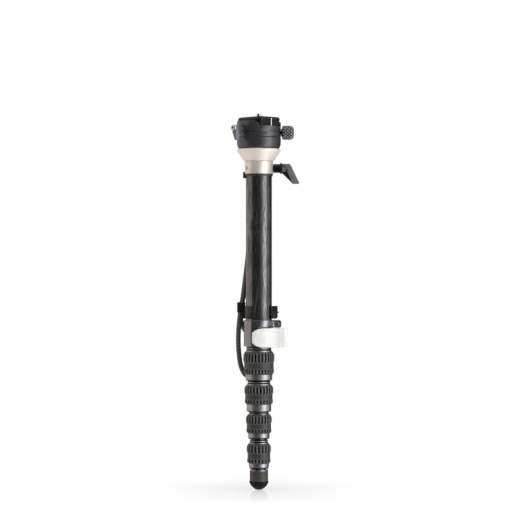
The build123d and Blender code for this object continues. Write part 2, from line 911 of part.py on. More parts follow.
def make_collar():
    """Silver collar with a hollow plug down into the top tube and a bore for the platform's spindle."""
    low, high = level["collar"], level["platform"] - moving_gap
    plug = bore_radii[0] - glue_gap
    bore = spindle_radius + running_gap
    body = turned(
        (collar_plug_bore, low - collar_plug_length),
        (plug, low - collar_plug_length),
        (plug, low),
        (collar_radius, low),
        (collar_radius, high, edge_break),
        (bore, high),
        (bore, shoulder_bottom()),
        (collar_plug_bore, shoulder_bottom()),
    )
    body -= lock_rod(spindle_radius, collar_radius + overrun, lock_screw_radius + running_gap)
    inner = at_bearing(collar_radius - collar_screw_depth, collar_screw_bearing, lock_axis())
    outer = at_bearing(collar_radius + overrun, collar_screw_bearing, lock_axis())
    return body - rod(inner, outer, collar_screw_radius)


def make_platform():
    """Silver cone that widens to the round platform, with the spindle that turns in the collar."""
    low, rim, top = level["platform"], level["rim"], level["bowl"]
    spindle_low = shoulder_bottom() - running_gap
    body = turned(
        (0, spindle_low),
        (spindle_radius, spindle_low),
        (spindle_radius, low),
        (platform_foot_radius, low),
        (platform_rim_radius, rim, edge_break),
        (platform_rim_radius, rim + platform_rim_height),
        (platform_rim_radius - platform_chamfer, top),
        (0, top),
    )
    body -= rod((0, 0, top - head_screw_below), (0, 0, top + overrun), head_screw_radius + glue_gap)
    hole_top = spindle_low + retainer_screw_length
    return body - rod((0, 0, spindle_low - overrun), (0, 0, hole_top), retainer_screw_radius + glue_gap)


def make_retainer():
    """Wide-headed screw that holds the spindle in the collar."""
    seat = shoulder_bottom() - running_gap
    head = rod((0, 0, seat - retainer_thickness), (0, 0, seat), retainer_radius)
    return head + rod((0, 0, seat), (0, 0, seat + retainer_screw_length - running_gap), retainer_screw_radius)


def make_lock_stem():
    """Stem of the platform lock: a screw into the collar, a round boss and a flange."""
    boss_start = collar_radius + moving_gap
    stem = lock_rod(spindle_radius + moving_gap, boss_start, lock_screw_radius)
    stem += lock_rod(boss_start, lock_stem_reach, lock_stem_radius)
    return stem + lock_rod(lock_stem_reach, lock_stem_reach + lock_flange_thickness, lock_flange_radius)


def make_lock_lever():
    """Paddle on the stem's flange: it hangs down and leans outwards."""
    start = lock_stem_reach + lock_flange_thickness
    top, tip = lock_axis() + lock_blade_rise, lock_axis() - lock_blade_drop
    run = tan(radians(lock_blade_lean)) * (top - tip)
    across = lock_blade_thickness / cos(radians(lock_blade_lean))
    root = start, lock_axis() - lock_blade_root_drop
    corners = (start, top), (start + across, top), (start + across + run, tip), (start + run, tip), root
    line = FilletPolyline(*corners, radius=(0,) + (lock_blade_rounding,) * 3 + (0,), close=True)
    blade = extrude(make_face(Plane.XZ * line), lock_blade_width / 2, both=True)
    front = RectangleRounded(lock_blade_width, top - tip, lock_blade_width / 2 - edge_break)
    blade &= extrude(Plane.YZ * Pos(0, (top + tip) / 2) * front, start + across + run + overrun)
    return blade + lock_rod(start, start + across / 2, lock_blade_rise - edge_break)


# Head


def make_head_screw():
    """Stud that joins the platform and the head."""
    low = level["bowl"] - head_screw_below + glue_gap
    return rod((0, 0, low), (0, 0, low + head_screw_length), head_screw_radius)


def make_head_base():
    """Bowl under the panning clamp, with the spigot that the pan body turns on."""
    low, high = level["bowl"], level["bowl_top"]
    swell = low + bowl_swell_height
    middle = (bowl_mid_radius, low + bowl_mid_height)
    side = ThreePointArc((bowl_foot_radius, low), middle, (head_radius, swell))
    seat_outer, seat_inner = bearing_outer_radius + glue_gap, bearing_inner_radius - glue_gap
    rest = Polyline(
        (head_radius, swell),
        (head_radius, high - edge_break),
        (head_radius - edge_break, high),
        (seat_outer, high),
        (seat_outer, high - bearing_seat),
        (seat_inner, high - bearing_seat),
        (seat_inner, high),
        (spigot_radius, high),
        (spigot_radius, high + spigot_height),
        (0, high + spigot_height),
        (0, low),
        (bowl_foot_radius, low),
    )
    body = revolve(make_face(Plane.XZ * (side + rest)), Axis.Z)
    screw_top = low - head_screw_below + head_screw_length + 2 * glue_gap
    return body - rod((0, 0, low - overrun), (0, 0, screw_top), head_screw_radius + glue_gap)


def make_bearing():
    """Plastic slide ring between the bowl and the pan body."""
    low = level["bowl_top"] - bearing_seat
    return ring(bearing_outer_radius, bearing_inner_radius, low, low + bearing_thickness)


def make_pan_plate():
    """Round plate on the spigot that keeps the pan body down and takes the pan screw's push."""
    low = level["bowl_top"] + spigot_height
    high = low + pan_plate_thickness
    plate = rod((0, 0, low), (0, 0, high), pan_plate_radius)
    for turn in range(pan_plate_holes):
        x, y, _ = at_bearing(pan_plate_hole_circle, turn * 360 / pan_plate_holes)
        plate -= rod((x, y, low - overrun), (x, y, high + overrun), pan_plate_hole_radius)
    return plate


def jaw_profile():
    """Section of the moving jaw beside the groove, in Y and Z."""
    floor, top = level["floor"], level["floor"] + jaw_height_over_floor
    foot = level["pan"] + jaw_seat_rise + moving_gap
    flank = plate_half_width - plate_neck_half_width
    face = plate_half_width + moving_gap
    flank_low = level["plate"] + plate_foot_height
    outside = head_radius + overrun
    return [
        (-outside, foot),
        (-jaw_seat_y - moving_gap, foot),
        (-jaw_seat_y - moving_gap, floor),
        (-face, floor),
        (-face, flank_low),
        (-face + flank, flank_low + flank),
        (-face + flank, top),
        (-outside, top),
    ]


def make_jaw_blank():
    """Jaw cut from the head's round, with its ends sloped down."""
    face = make_face(Plane.YZ * Polyline(*jaw_profile(), close=True))
    blank = extrude(face, head_radius, both=True)
    blank &= rod((0, 0, level["pan"]), (0, 0, level["plate_top"]), head_radius)
    top = level["floor"] + jaw_height_over_floor
    end = (head_radius**2 - jaw_seat_y**2) ** 0.5
    drop = jaw_end_drop / jaw_end_run * (jaw_end_run + overrun)
    for side in (1, -1):
        inner, outer = side * (end - jaw_end_run), side * (end + overrun)
        above = (outer, top + overrun), (inner, top + overrun)
        wedge = Polyline((inner, top), (outer, top - drop), *above, close=True)
        blank -= extrude(make_face(Plane.XZ * wedge), head_radius + overrun, both=True)
    return blank


def clamp_axis():
    """Height of the clamp screw."""
    return level["floor"] - clamp_axis_drop


def clamp_rod(start, end, radius, x=0):
    """A rod along the clamp screw's line, between two places in Y of the clamp's own axes."""
    return rod((x, start, clamp_axis()), (x, end, clamp_axis()), radius)


def make_jaw():
    """Moving jaw with a flat for the lever's neck and holes for the screw and the guide pins."""
    jaw = make_jaw_blank()
    outside = head_radius + overrun
    jaw -= clamp_rod(-outside, 0, clamp_screw_radius + running_gap)
    jaw -= clamp_rod(-outside, -head_radius + spot_face_depth, spot_face_radius)
    for x in (-guide_pin_x, guide_pin_x):
        jaw -= clamp_rod(-jaw_seat_y - guide_pin_out - moving_gap, 0, guide_pin_radius + running_gap, x)
    return placed_by_clamp(jaw)


def make_pan_body():
    """Round body that pans on the bowl: the fixed jaw, the groove's floor and the seat of the moving jaw."""
    low, floor = level["pan"], level["floor"]
    well = pan_plate_radius + moving_gap
    line = low + pan_line_rise
    bore = spigot_radius + running_gap
    body = turned(
        (bore, low),
        (head_radius - edge_break, low),
        (head_radius, low + edge_break),
        (head_radius, line),
        (head_radius - pan_line_depth, line),
        (head_radius - pan_line_depth, line + pan_line_height),
        (head_radius, line + pan_line_height),
        (head_radius, floor - edge_break),
        (head_radius - edge_break, floor),
        (well, floor),
        (well, low + pan_flange),
        (bore, low + pan_flange),
    )
    outside = head_radius + overrun
    body -= block((-head_radius, -outside, low + jaw_seat_rise), (head_radius, -jaw_seat_y, floor + overrun))
    above = rod((0, 0, floor - edge_break), (0, 0, level["plate_top"]), head_radius)
    body += (Rot(0, 0, 180) * make_jaw_blank()) & above
    body -= clamp_rod(-outside, clamp_screw_far_end + moving_gap, clamp_screw_radius + running_gap)
    for x in (-guide_pin_x, guide_pin_x):
        body -= clamp_rod(-outside, -jaw_seat_y + guide_pin_in, guide_pin_radius + glue_gap, x)
    body -= make_stop_troughs()
    return placed_by_clamp(body) - knob_rod(pan_plate_radius, outside, pan_knob_screw_radius + running_gap)


def make_guide_pins():
    """Two pins that the moving jaw slides on."""
    inner, outer = -jaw_seat_y + guide_pin_in, -jaw_seat_y - guide_pin_out
    pins = [clamp_rod(inner, outer, guide_pin_radius, x) for x in (-guide_pin_x, guide_pin_x)]
    return placed_by_clamp(pins[0] + pins[1])


def clamp_end_plane():
    """Plane on the clamp lever's outer face, facing outwards."""
    return Plane(origin=(0, -clamp_lever_end, clamp_axis()), x_dir=(1, 0, 0), z_dir=(0, -1, 0))


def make_clamp_lever():
    """Hanging lever of the clamp, with a round neck that bears on the jaw."""
    wide = clamp_lever_half_width
    corners = (
        (wide, clamp_lever_rise),
        (-wide, clamp_lever_rise),
        (-wide, -clamp_lever_shoulder),
        (wide - clamp_lever_tip, -clamp_lever_drop),
        (wide, -clamp_lever_drop),
    )
    line = FilletPolyline(*corners, radius=clamp_lever_rounding, close=True)
    arm = extrude(clamp_end_plane() * make_face(line), clamp_lever_start - clamp_lever_end)
    neck_start = -head_radius + spot_face_depth - running_gap
    neck = clamp_rod(neck_start, -clamp_lever_start - edge_break, clamp_neck_radius)
    bore = clamp_rod(0, -clamp_lever_end - overrun, clamp_screw_radius + glue_gap)
    return placed_by_clamp(arm + neck - bore)


def make_clamp_screw():
    """Screw through the lever and the jaw into the pan body, with a button head."""
    plane = clamp_end_plane()
    head = extrude(plane * Circle(clamp_head_radius), clamp_head_height)
    head = fillet(head.faces().sort_by(Axis.Y)[0].edges(), clamp_head_height * 2 / 3)
    socket = plane.offset(clamp_head_height) * RegularPolygon(clamp_head_socket_radius, 6)
    head -= extrude(socket, -clamp_head_socket_depth)
    return placed_by_clamp(head + clamp_rod(clamp_screw_far_end, -clamp_lever_end, clamp_screw_radius))


def knob_axis():
    """Height of the pan knob's axis."""
    return level["pan"] + pan_knob_rise


def knob_rod(start, end, radius):
    """A rod on the pan knob's axis, between two places along X."""
    return rod((start, 0, knob_axis()), (end, 0, knob_axis()), radius)


def make_pan_knob():
    """Grooved knob with a domed end, a neck and its screw."""
    body = knob_rod(pan_knob_start, pan_knob_end, pan_knob_radius)
    body = fillet(body.faces().sort_by(Axis.X)[-1].edges(), pan_knob_dome)
    body = chamfer(body.faces().sort_by(Axis.X)[0].edges(), edge_break)
    length = pan_knob_end - pan_knob_start + overrun
    middle = (pan_knob_start + pan_knob_end) / 2
    square = Box(length, pan_knob_groove_width, pan_knob_groove_width)
    bar = Pos(middle, 0, pan_knob_radius) * Rot(45, 0, 0) * square
    at_axis = Pos(0, 0, knob_axis())
    body -= [at_axis * Rot(turn * 360 / pan_knob_grooves, 0, 0) * bar for turn in range(pan_knob_grooves)]
    neck_start = pan_knob_start - pan_knob_neck_length
    body += knob_rod(neck_start, pan_knob_start, pan_knob_neck_radius)
    return body + knob_rod(pan_plate_radius + moving_gap, neck_start, pan_knob_screw_radius)


# Lens plate


def stop_pin_places():
    """Middles of the two stop pins, in the clamp's own axes."""
    x = plate_length / 2 - stop_pin_setback
    return [(x, stop_pin_offset), (-x, -stop_pin_offset)]


def make_stop_troughs():
    """Two short troughs in the groove's floor that the stop pins travel in."""
    room = stop_pin_radius + moving_gap
    reach = plate_travel + room
    low, high = level["floor"] - stop_pin_drop - moving_gap, level["floor"] + overrun
    troughs = [block((x - reach, y - room, low), (x + reach, y + room, high)) for x, y in stop_pin_places()]
    return troughs[0] + troughs[1]


def make_lens_plate():
    """Dovetail plate with a deck, a slot for the camera screw and a notch at each end."""
    low, deck, top = level["plate"], level["deck"], level["plate_top"]
    wide, neck = plate_half_width, plate_neck_half_width
    flank_low = low + plate_foot_height
    flank_high = flank_low + wide - neck
    half = [(wide, low), (wide, flank_low), (neck, flank_high), (neck, deck), (wide, deck), (wide, top)]
    outline = half + [(-y, z) for y, z in reversed(half)]
    body = extrude(make_face(Plane.YZ * Polyline(*outline, close=True)), plate_length / 2, both=True)
    body &= Pos(0, 0, low) * extrude(RectangleRounded(plate_length, 2 * wide, plate_rounding), plate_height)
    body = chamfer(body.faces().sort_by(Axis.Z)[-1].edges(), plate_chamfer)
    foot = Pos(0, 0, low)
    body -= foot * extrude(SlotOverall(plate_recess_length, plate_recess_width), plate_recess_depth)
    body -= foot * extrude(SlotOverall(plate_slot_length, plate_slot_width), plate_height + overrun)
    for x, y in stop_pin_places():
        body -= rod((x, y, low - overrun), (x, y, deck), stop_notch_radius)
        body -= rod((x, y, low), (x, y, deck + stop_pin_depth), stop_pin_radius + glue_gap)
    return placed_by_clamp(body)


def make_stop_pins():
    """Pins in the end notches that keep the plate from sliding off."""
    low, high = level["plate"] - stop_pin_drop, level["deck"] + stop_pin_depth
    pins = [rod((x, y, low), (x, y, high), stop_pin_radius) for x, y in stop_pin_places()]
    return placed_by_clamp(pins[0] + pins[1])


def make_plate_pad():
    """Rubber pad on the plate."""
    length, width = plate_length - 2 * pad_inset, 2 * (plate_half_width - pad_inset)
    pad = RectangleRounded(length, width, plate_rounding - pad_inset)
    pad -= SlotOverall(plate_slot_length, plate_slot_width)
    return placed_by_clamp(Pos(0, 0, level["plate_top"]) * extrude(pad, pad_thickness))


def make_camera_screw():
    """Camera screw with a slotted head in the plate's recess."""
    seat = level["plate"] + plate_recess_depth
    low = seat - camera_head_height
    screw = rod((0, 0, low), (0, 0, seat), camera_head_radius)
    screw += rod((0, 0, seat), (0, 0, level["pad_top"]), camera_neck_radius)
    screw += rod((0, 0, level["pad_top"]), (0, 0, level["pad_top"] + camera_screw_reach), camera_screw_radius)
    half = camera_head_slot / 2
    slot_top = (camera_head_radius, half, low + camera_head_height / 3)
    slot = block((-camera_head_radius, -half, low - overrun), slot_top)
    return placed_by_clamp(screw - slot)


# Wrist strap


def socket_places():
    """Middles of the lug's two cord sockets, near leg first."""
    radius = tube_radii[0] + lug_socket_standoff + lug_socket_radius
    return [at_bearing(radius, bearing) for bearing in lug_socket_bearings]


def socket_mouth():
    """Height of the sockets' lower faces, where the cord's ends meet them."""
    return level["collar"] + lug_overlap - lug_height - lug_socket_height


def make_strap_lug():
    """Curved band screwed to the collar's left side, with two sockets at the back for the cord's ends."""
    inside = collar_radius + lug_gap
    outside = inside + lug_wall
    low = level["collar"] + lug_overlap - lug_height
    middle_bearing = (lug_start_bearing + lug_end_bearing) / 2
    bearings = (lug_start_bearing, middle_bearing, lug_end_bearing)
    corners = [at_bearing(3 * outside, bearing)[:2] for bearing in bearings]
    sector = make_face(Polyline((0, 0), *corners, close=True))
    lug = Pos(0, 0, low) * extrude((Circle(outside) - Circle(inside)) & sector, lug_height)
    for x, y, _ in socket_places():
        lug += rod((x, y, socket_mouth()), (x, y, low + lug_height), lug_socket_radius)
    return lug - rod((0, 0, low - lug_height), (0, 0, low + lug_height + overrun), inside)


def cord_route():
    """Points of the cord: down the near leg, through the slider, round the loop and up the far leg."""
    near, far = [(x, y, socket_mouth()) for x, y, _ in socket_places()]
    under_near, under_far = [(x, y, z - leg_drop) for x, y, z in (near, far)]
    back_through = [(x, y + leg_shift, z) for x, y, z in (slider_foot, slider_top)]
    down = [near, under_near, *near_leg, slider_top, slider_foot]
    route = [*down, *loop, *back_through, *far_leg, under_far, far]
    return [Vector(*point) for point in route]


def corner_radii(points):
    """Arc at each corner, from the shorter run beside it and half its turn."""
    radii = []
    for before, corner, after in zip(points, points[1:], points[2:]):
        run = min((corner - before).length, (after - corner).length)
        half_turn = radians((corner - before).get_angle(after - corner)) / 2
        radii.append(arc_run_share * run / tan(half_turn))
    return radii


def make_strap_cord():
    """Round cord of the wrist strap, swept along straight runs and tangent arcs."""
    points = cord_route()
    radii = corner_radii(points)
    path = FilletPolyline(*points, radius=radii)
    start = Plane(origin=points[0], z_dir=(points[1] - points[0]).normalized())
    cord = sweep(start * Circle(cord_radius), path=path)
    print("cord radii", [round(radius, 1) for radius in radii])
    print("cord runs", [round((after - before).length, 1) for before, after in zip(points, points[1:])])
    full = pi * cord_radius**2 * path.length
    print("cord length", round(path.length, 1), "share of full volume", round(cord.volume / full, 4))
    return cord


def make_slider():
    """Block that slides on both legs of the strap, in line with them."""
    top, foot = Vector(*slider_top), Vector(*slider_foot)
    middle = (top + foot) / 2 + Vector(-slider_outset, leg_shift / 2, 0)
    plane = Plane(origin=middle, x_dir=(1, 0, 0), z_dir=(top - foot).normalized())
    outline = RectangleRounded(slider_width, slider_depth, slider_rounding)
    blank = extrude(plane * outline, slider_height / 2, both=True)
    for offset in (0, leg_shift):
        shift = Vector(0, offset, 0)
        blank -= rod(top + shift, foot + shift, cord_radius + slider_hole_gap)
    return blank


# Writing the pieces


def all_pieces():
    """Every piece by the name of its file."""
    pieces = {
        "foot_pad": make_foot_pad(),
        "foot_holder": make_foot_holder(),
        "flip_lock_body": make_flip_lock_body(),
        "flip_lock_liner": make_liner(),
        "flip_lever": make_flip_lever(),
        "flip_lever_pin": make_lever_pin(),
        "flip_eye_bolt": make_eye_bolt(),
        "flip_lock_nut": make_flip_nut(),
        "pinch_screw": make_pinch_screw(),
        "strap_keeper": make_keeper(),
        "strap_lug": make_strap_lug(),
        "strap_cord": make_strap_cord(),
        "strap_slider": make_slider(),
        "trim_ring": make_trim_ring(),
        "top_collar": make_collar(),
        "platform": make_platform(),
        "spindle_retainer": make_retainer(),
        "platform_lock_stem": make_lock_stem(),
        "platform_lock_lever": make_lock_lever(),
        "head_screw": make_head_screw(),
        "head_base": make_head_base(),
        "pan_bearing": make_bearing(),
        "pan_plate": make_pan_plate(),
        "pan_body": make_pan_body(),
        "pan_knob": make_pan_knob(),
        "jaw_guide_pins": make_guide_pins(),
        "clamp_jaw": make_jaw(),
        "clamp_lever": make_clamp_lever(),
        "clamp_screw": make_clamp_screw(),
        "lens_plate": make_lens_plate(),
        "plate_stop_pins": make_stop_pins(),
        "plate_pad": make_plate_pad(),
        "camera_screw": make_camera_screw(),
    }
    for index in range(len(tube_diameters)):
        pieces[f"section_{index + 1}_tube"] = make_tube(index)
        if index:
            pieces[f"section_{index + 1}_bush"] = make_bush(index)
    for lock in twist_locks:
        pieces[f"lock_{lock.number}_ferrule"] = make_ferrule(lock)
        pieces[f"lock_{lock.number}_collet"] = make_collet(lock)
        pieces[f"lock_{lock.number}_nut"] = make_nut(lock)
        pieces[f"lock_{lock.number}_grip"] = make_grip(lock)
    return pieces


os.makedirs("parts", exist_ok=True)
for name, piece in all_pieces().items():
    export_step(piece, f"parts/{name}.step")
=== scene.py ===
import json
import math

import bmesh
import bpy
import numpy as np
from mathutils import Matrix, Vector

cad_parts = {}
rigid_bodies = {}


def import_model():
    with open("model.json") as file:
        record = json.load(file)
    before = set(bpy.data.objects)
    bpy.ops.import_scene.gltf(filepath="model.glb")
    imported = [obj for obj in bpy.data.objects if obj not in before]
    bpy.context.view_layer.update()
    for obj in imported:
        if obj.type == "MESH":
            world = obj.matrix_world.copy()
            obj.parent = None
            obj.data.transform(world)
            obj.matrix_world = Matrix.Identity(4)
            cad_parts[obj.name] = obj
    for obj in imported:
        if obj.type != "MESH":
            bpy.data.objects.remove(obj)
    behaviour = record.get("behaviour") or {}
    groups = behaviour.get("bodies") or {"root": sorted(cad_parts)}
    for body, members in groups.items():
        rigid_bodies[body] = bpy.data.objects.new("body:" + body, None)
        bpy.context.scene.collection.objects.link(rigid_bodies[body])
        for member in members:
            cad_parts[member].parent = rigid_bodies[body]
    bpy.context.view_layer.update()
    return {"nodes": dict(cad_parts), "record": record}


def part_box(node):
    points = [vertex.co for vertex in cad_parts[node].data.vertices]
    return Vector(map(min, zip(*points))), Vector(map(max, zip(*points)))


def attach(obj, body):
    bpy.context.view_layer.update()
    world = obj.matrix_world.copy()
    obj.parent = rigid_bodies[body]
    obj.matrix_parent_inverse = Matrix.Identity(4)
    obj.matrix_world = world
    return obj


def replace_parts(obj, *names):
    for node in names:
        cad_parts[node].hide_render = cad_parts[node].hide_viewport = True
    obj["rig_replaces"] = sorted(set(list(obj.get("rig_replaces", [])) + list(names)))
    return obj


# %% [markdown]
# # A folded camera monopod with a panning head
#
# The real thing is a leg of six carbon tubes, one inside the next, locked by one flip lock at the top
# and four rubber-covered twist locks below. On the leg sit a silver collar and cone, a dark panning head
# and a small plate clamp. The exact shapes come from the CAD frame. They could be modelled again by hand
# in Edit Mode, but then the sizes would drift. So each piece here gets its finish, and the pieces that
# show most get finer surfaces, worked out with numpy from sizes that are measured on the frame.

# %% Load the frame
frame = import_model()
nodes = frame["nodes"]
body_of = {node: body for body, members in frame["record"]["behaviour"]["bodies"].items() for node in members}
slot_of = {entry["node"]: entry["material_slot"] for entry in frame["record"]["subparts"]}
MM = 0.001                      # metres


def span(node, axis=2):
    """Lowest and highest place of a CAD piece along an axis, in mm."""
    low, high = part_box(node)
    return low[axis] / MM, high[axis] / MM


print("CAD nodes:", len(nodes), "leg's top at", span("section_1_tube")[1], "mm")

# %% [markdown]
# ## The camera
#
# The photograph was taken level, from nearby and from half way up: the head's rims are seen from below and
# the lowest rings from above. A camera could be aimed at the leg with a constraint, but a tilted one makes
# the leg lean. A level camera at the picture's middle keeps it upright. The focal length follows from the
# distance and from the width that the picture spans: lens = sensor * distance / width.

# %% Camera
CAMERA_DISTANCE = 2.5
PICTURE_WIDTH = 0.6973          # metres that the picture spans at the leg
PICTURE_MIDDLE = (0.0015, 0.3078)
SENSOR_WIDTH = 36
FARTHEST = 100
camera = bpy.data.objects.new("camera", bpy.data.cameras.new("camera"))
bpy.context.scene.collection.objects.link(camera)
camera.location = (PICTURE_MIDDLE[0], -CAMERA_DISTANCE, PICTURE_MIDDLE[1])
camera.rotation_euler = (math.radians(90), 0, 0)
camera.data.sensor_width = SENSOR_WIDTH
camera.data.lens = SENSOR_WIDTH * CAMERA_DISTANCE / PICTURE_WIDTH
camera.data.clip_end = FARTHEST
bpy.context.scene.camera = camera
bpy.context.scene.view_settings.view_transform = "Standard"
print("focal length", round(camera.data.lens, 1), "mm")

# %% [markdown]
# ## Colours
#
# A colour that is picked from a picture is an sRGB value, while the renderer counts light in linear
# values. The colour field of a material turns one into the other when a hex code is typed there. A
# script has to do it itself, so one small function does it for every finish below.

# %% Colours
def colour(code):
    """Linear RGBA of an sRGB hex colour: ((c + 0.055) / 1.055) ^ 2.4, or c / 12.92 where c is small."""
    c = np.array([int(code[digit : digit + 2], 16) / 255 for digit in (1, 3, 5)])
    return (*np.where(c <= 0.04045, c / 12.92, ((c + 0.055) / 1.055) ** 2.4), 1.0)


print("mid grey in linear light:", round(float(colour("#808080")[0]), 3))

# %% [markdown]
# ## Nodes
#
# Patterns could be painted or come from picture files, but node patterns stay sharp at any distance and
# need no unwrapping. Nodes could also be made and linked line by line. One function that adds a node, sets
# its options and inputs, and joins it up keeps each finish as short as a recipe.

# %% Nodes
def add(tree, kind, sockets=(), to=(), stops=(), **settings):
    """Add a node: settings are its own options, sockets its inputs as numbers or links from other nodes.

    to lists the inputs that its first output goes to. stops are a colour ramp's (place, hex colour) pairs.
    """
    made = tree.nodes.new(kind)
    for key, value in settings.items():
        setattr(made, key, value)
    for key, value in dict(sockets).items():
        if isinstance(value, bpy.types.NodeSocket):
            tree.links.new(value, made.inputs[key])
        else:
            made.inputs[key].default_value = value
    if stops:
        elements = made.color_ramp.elements
        while len(elements) < len(stops):
            elements.new(0.5)
        for element, (position, code) in zip(elements, stops):
            element.position, element.color = position, colour(code)
    for socket in to:
        tree.links.new(made.outputs[0], socket)
    return made


print("every node below is added by", add.__name__)

# %% [markdown]
# ## Finishes
#
# A finish on the real thing is a material and the way its surface was made. Here it is one Principled
# shader, which covers metals, paints, plastics and rubber by its numbers alone. Other shaders could be
# mixed by hand, but then light is easily made or lost. Each finish is kept under the slot it dresses.

# %% Finishes
materials = {}


def finish(slot, name, **sockets):
    """A new material with one Principled shader whose named inputs are set. Returns its tree and shader."""
    material = bpy.data.materials.new(name)
    material.use_nodes = True
    tree = material.node_tree
    shader = tree.nodes["Principled BSDF"]
    for key, value in sockets.items():
        shader.inputs[key.replace("_", " ")].default_value = value
    materials[slot] = material
    return tree, shader


print("finishes so far:", len(materials))

# %% [markdown]
# ## Grain
#
# Blasted metal, tool lines and moulded rubber all have a fine unevenness. A picture could be laid over
# them, but it would need unwrapping and would stretch. Noise on the piece's own coordinates has the same
# size everywhere, and its cells are given in millimetres, longer one way than another where that is so.

# %% Grain
def grain(tree, size, **settings):
    """Noise whose cells are size = (x, y, z) in mm on the object: the mapping's scale is 1 / size."""
    spot = add(tree, "ShaderNodeTexCoord").outputs["Object"]
    scaled = add(tree, "ShaderNodeMapping", {"Vector": spot, "Scale": [1 / MM / length for length in size]})
    noise = {"Vector": scaled.outputs["Vector"], "Scale": 1.0, **settings}
    return add(tree, "ShaderNodeTexNoise", noise).outputs[0]


print("a cell of 0.5 mm is a scale of", 1 / MM / 0.5, "a metre")

# %% [markdown]
# ### Carbon tubes
#
# The leg is rolled carbon sheet under a thick clear lacquer. The lacquer gives one sharp reflection, and
# the fibres under it show as faint upright wavy streaks that brighten beside the highlight. A picture of
# carbon cloth wrapped round the tube would show its seam and repeat. Here two stretched noises are wound
# round the tube in opposite ways, and the stronger of the two is taken at each place, as in crossed sheets.

# %% Carbon
# Lacquered carbon fibre: near black, with grey streaks under a glassy coat. The coat's index is raised
# from lacquer's 1.5, so that its reflection is as bright as in the photograph. Real fibres are far too
# fine to show, so one streak stands for a bundle of them.
STRAND = (1.3, 1.3, 26)         # mm, long along the tube
SLANT = 9                       # radians of turn for each metre of tube
STRAND_DEPTH, COAT_DEPTH = 0.12, 0.06       # mm
tree, shader = finish("carbon", "lacquered_carbon_fibre", IOR=1.5, Coat_Roughness=0.1, Coat_IOR=2.2)
spot = add(tree, "ShaderNodeTexCoord").outputs["Object"]
rise = add(tree, "ShaderNodeSeparateXYZ", {"Vector": spot}).outputs["Z"]
layers = []
for slant in (SLANT, -SLANT):
    turn = add(tree, "ShaderNodeMath", {0: rise, 1: slant}, operation="MULTIPLY").outputs[0]
    wound = add(tree, "ShaderNodeVectorRotate", {"Vector": spot, "Angle": turn}, rotation_type="Z_AXIS")
    scale = [1 / MM / size for size in STRAND]
    drawn = add(tree, "ShaderNodeMapping", {"Vector": wound.outputs[0], "Scale": scale})
    noise = {"Vector": drawn.outputs[0], "Scale": 1.0, "Detail": 2.0, "Distortion": 0.6}
    layers.append(add(tree, "ShaderNodeTexNoise", noise).outputs[0])
strands = add(tree, "ShaderNodeMath", {0: layers[0], 1: layers[1]}, operation="MAXIMUM").outputs[0]
add(tree, "ShaderNodeValToRGB", {"Fac": strands}, [shader.inputs["Base Color"]],
    [(0.46, "#040405"), (0.58, "#0e0e10"), (0.66, "#252426"), (0.74, "#454345")])
add(tree, "ShaderNodeMapRange", {"Value": strands, "From Min": 0.45, "From Max": 0.7, "To Min": 0.5,
                                 "To Max": 0.26}, [shader.inputs["Roughness"]])
add(tree, "ShaderNodeMapRange", {"Value": strands, "From Min": 0.46, "From Max": 0.64, "To Min": 0.2,
                                 "To Max": 1.0}, [shader.inputs["Coat Weight"]])
add(tree, "ShaderNodeBump", {"Height": strands, "Distance": STRAND_DEPTH * MM}, [shader.inputs["Normal"]])
add(tree, "ShaderNodeBump", {"Height": strands, "Distance": COAT_DEPTH * MM}, [shader.inputs["Coat Normal"]])
print("carbon streaks", STRAND[2], "mm long")

# %% [markdown]
# ### Anodised metals
#
# Anodising grows a thin hard layer on aluminium, which takes up dye and keeps the metal's shine. Turned
# pieces show fine level lines from the lathe, and blasted ones a soft even grain. The lines could be
# anisotropic shading, but that needs tangents. A noise that is long round the piece and short along it
# tilts the shading in the same way and works on any shape.

# %% Anodised metals
# Cell sizes in mm. Real tool lines and blast grains are finer and are drawn as coarse as they need to show.
BLASTED, LATHE, COARSE, WAVY = (0.5, 0.5, 0.5), (40, 40, 0.7), (0.6, 0.6, 0.6), (3, 3, 3)


def anodised(slot, name, code, metallic, roughness, pattern=BLASTED, depth=0.01):
    """A dyed metal, partly metallic, with a fine pattern: cell size and depth are in mm."""
    tree, shader = finish(slot, name, Base_Color=colour(code), Metallic=metallic, Roughness=roughness)
    add(tree, "ShaderNodeBump", {"Height": grain(tree, pattern, Detail=2.0), "Distance": depth * MM},
        [shader.inputs["Normal"]])


# Head, trim ring and clamp: a dark grey with a wide soft highlight and faint level lines.
anodised("black_anodised", "black_anodised_aluminium", "#56555a", 0.8, 0.38, LATHE, 0.012)
# Flip lock: a polished casting, black where it mirrors the dark room and white where it mirrors a lamp.
anodised("casting_black", "glossy_black_casting", "#8b8a8e", 0.95, 0.17, WAVY, 0.002)
# Top collar: a bright warm silver with one broad band of light.
anodised("champagne", "champagne_anodised_aluminium", "#e6dfda", 0.62, 0.44, LATHE, 0.003)
# Cone: the same silver blasted first, so that it is pale and nearly even.
anodised("champagne_blasted", "blasted_champagne_aluminium", "#f2ede6", 0.35, 0.5)
# Lens plate and lock stem: nearly black, with a small tight highlight.
anodised("hard_black", "hard_black_anodised_aluminium", "#1b1b1d", 0.5, 0.3)
# Twist lock bands and ferrules: bright and dark upright bands that tell that the piece is round.
anodised("gunmetal", "gunmetal_anodised_aluminium", "#a2a1a4", 0.95, 0.38, LATHE, 0.006)
# Foot cup: a dull warm grey with a grain.
anodised("holder_grey", "blasted_grey_aluminium", "#4c4845", 0.35, 0.55, COARSE, 0.02)
# Clamp lever: a cool middle grey with a soft sheen.
anodised("plate_grey", "grey_anodised_aluminium", "#6c6b74", 0.7, 0.42)
print("anodised metals:", len(materials) - 1)

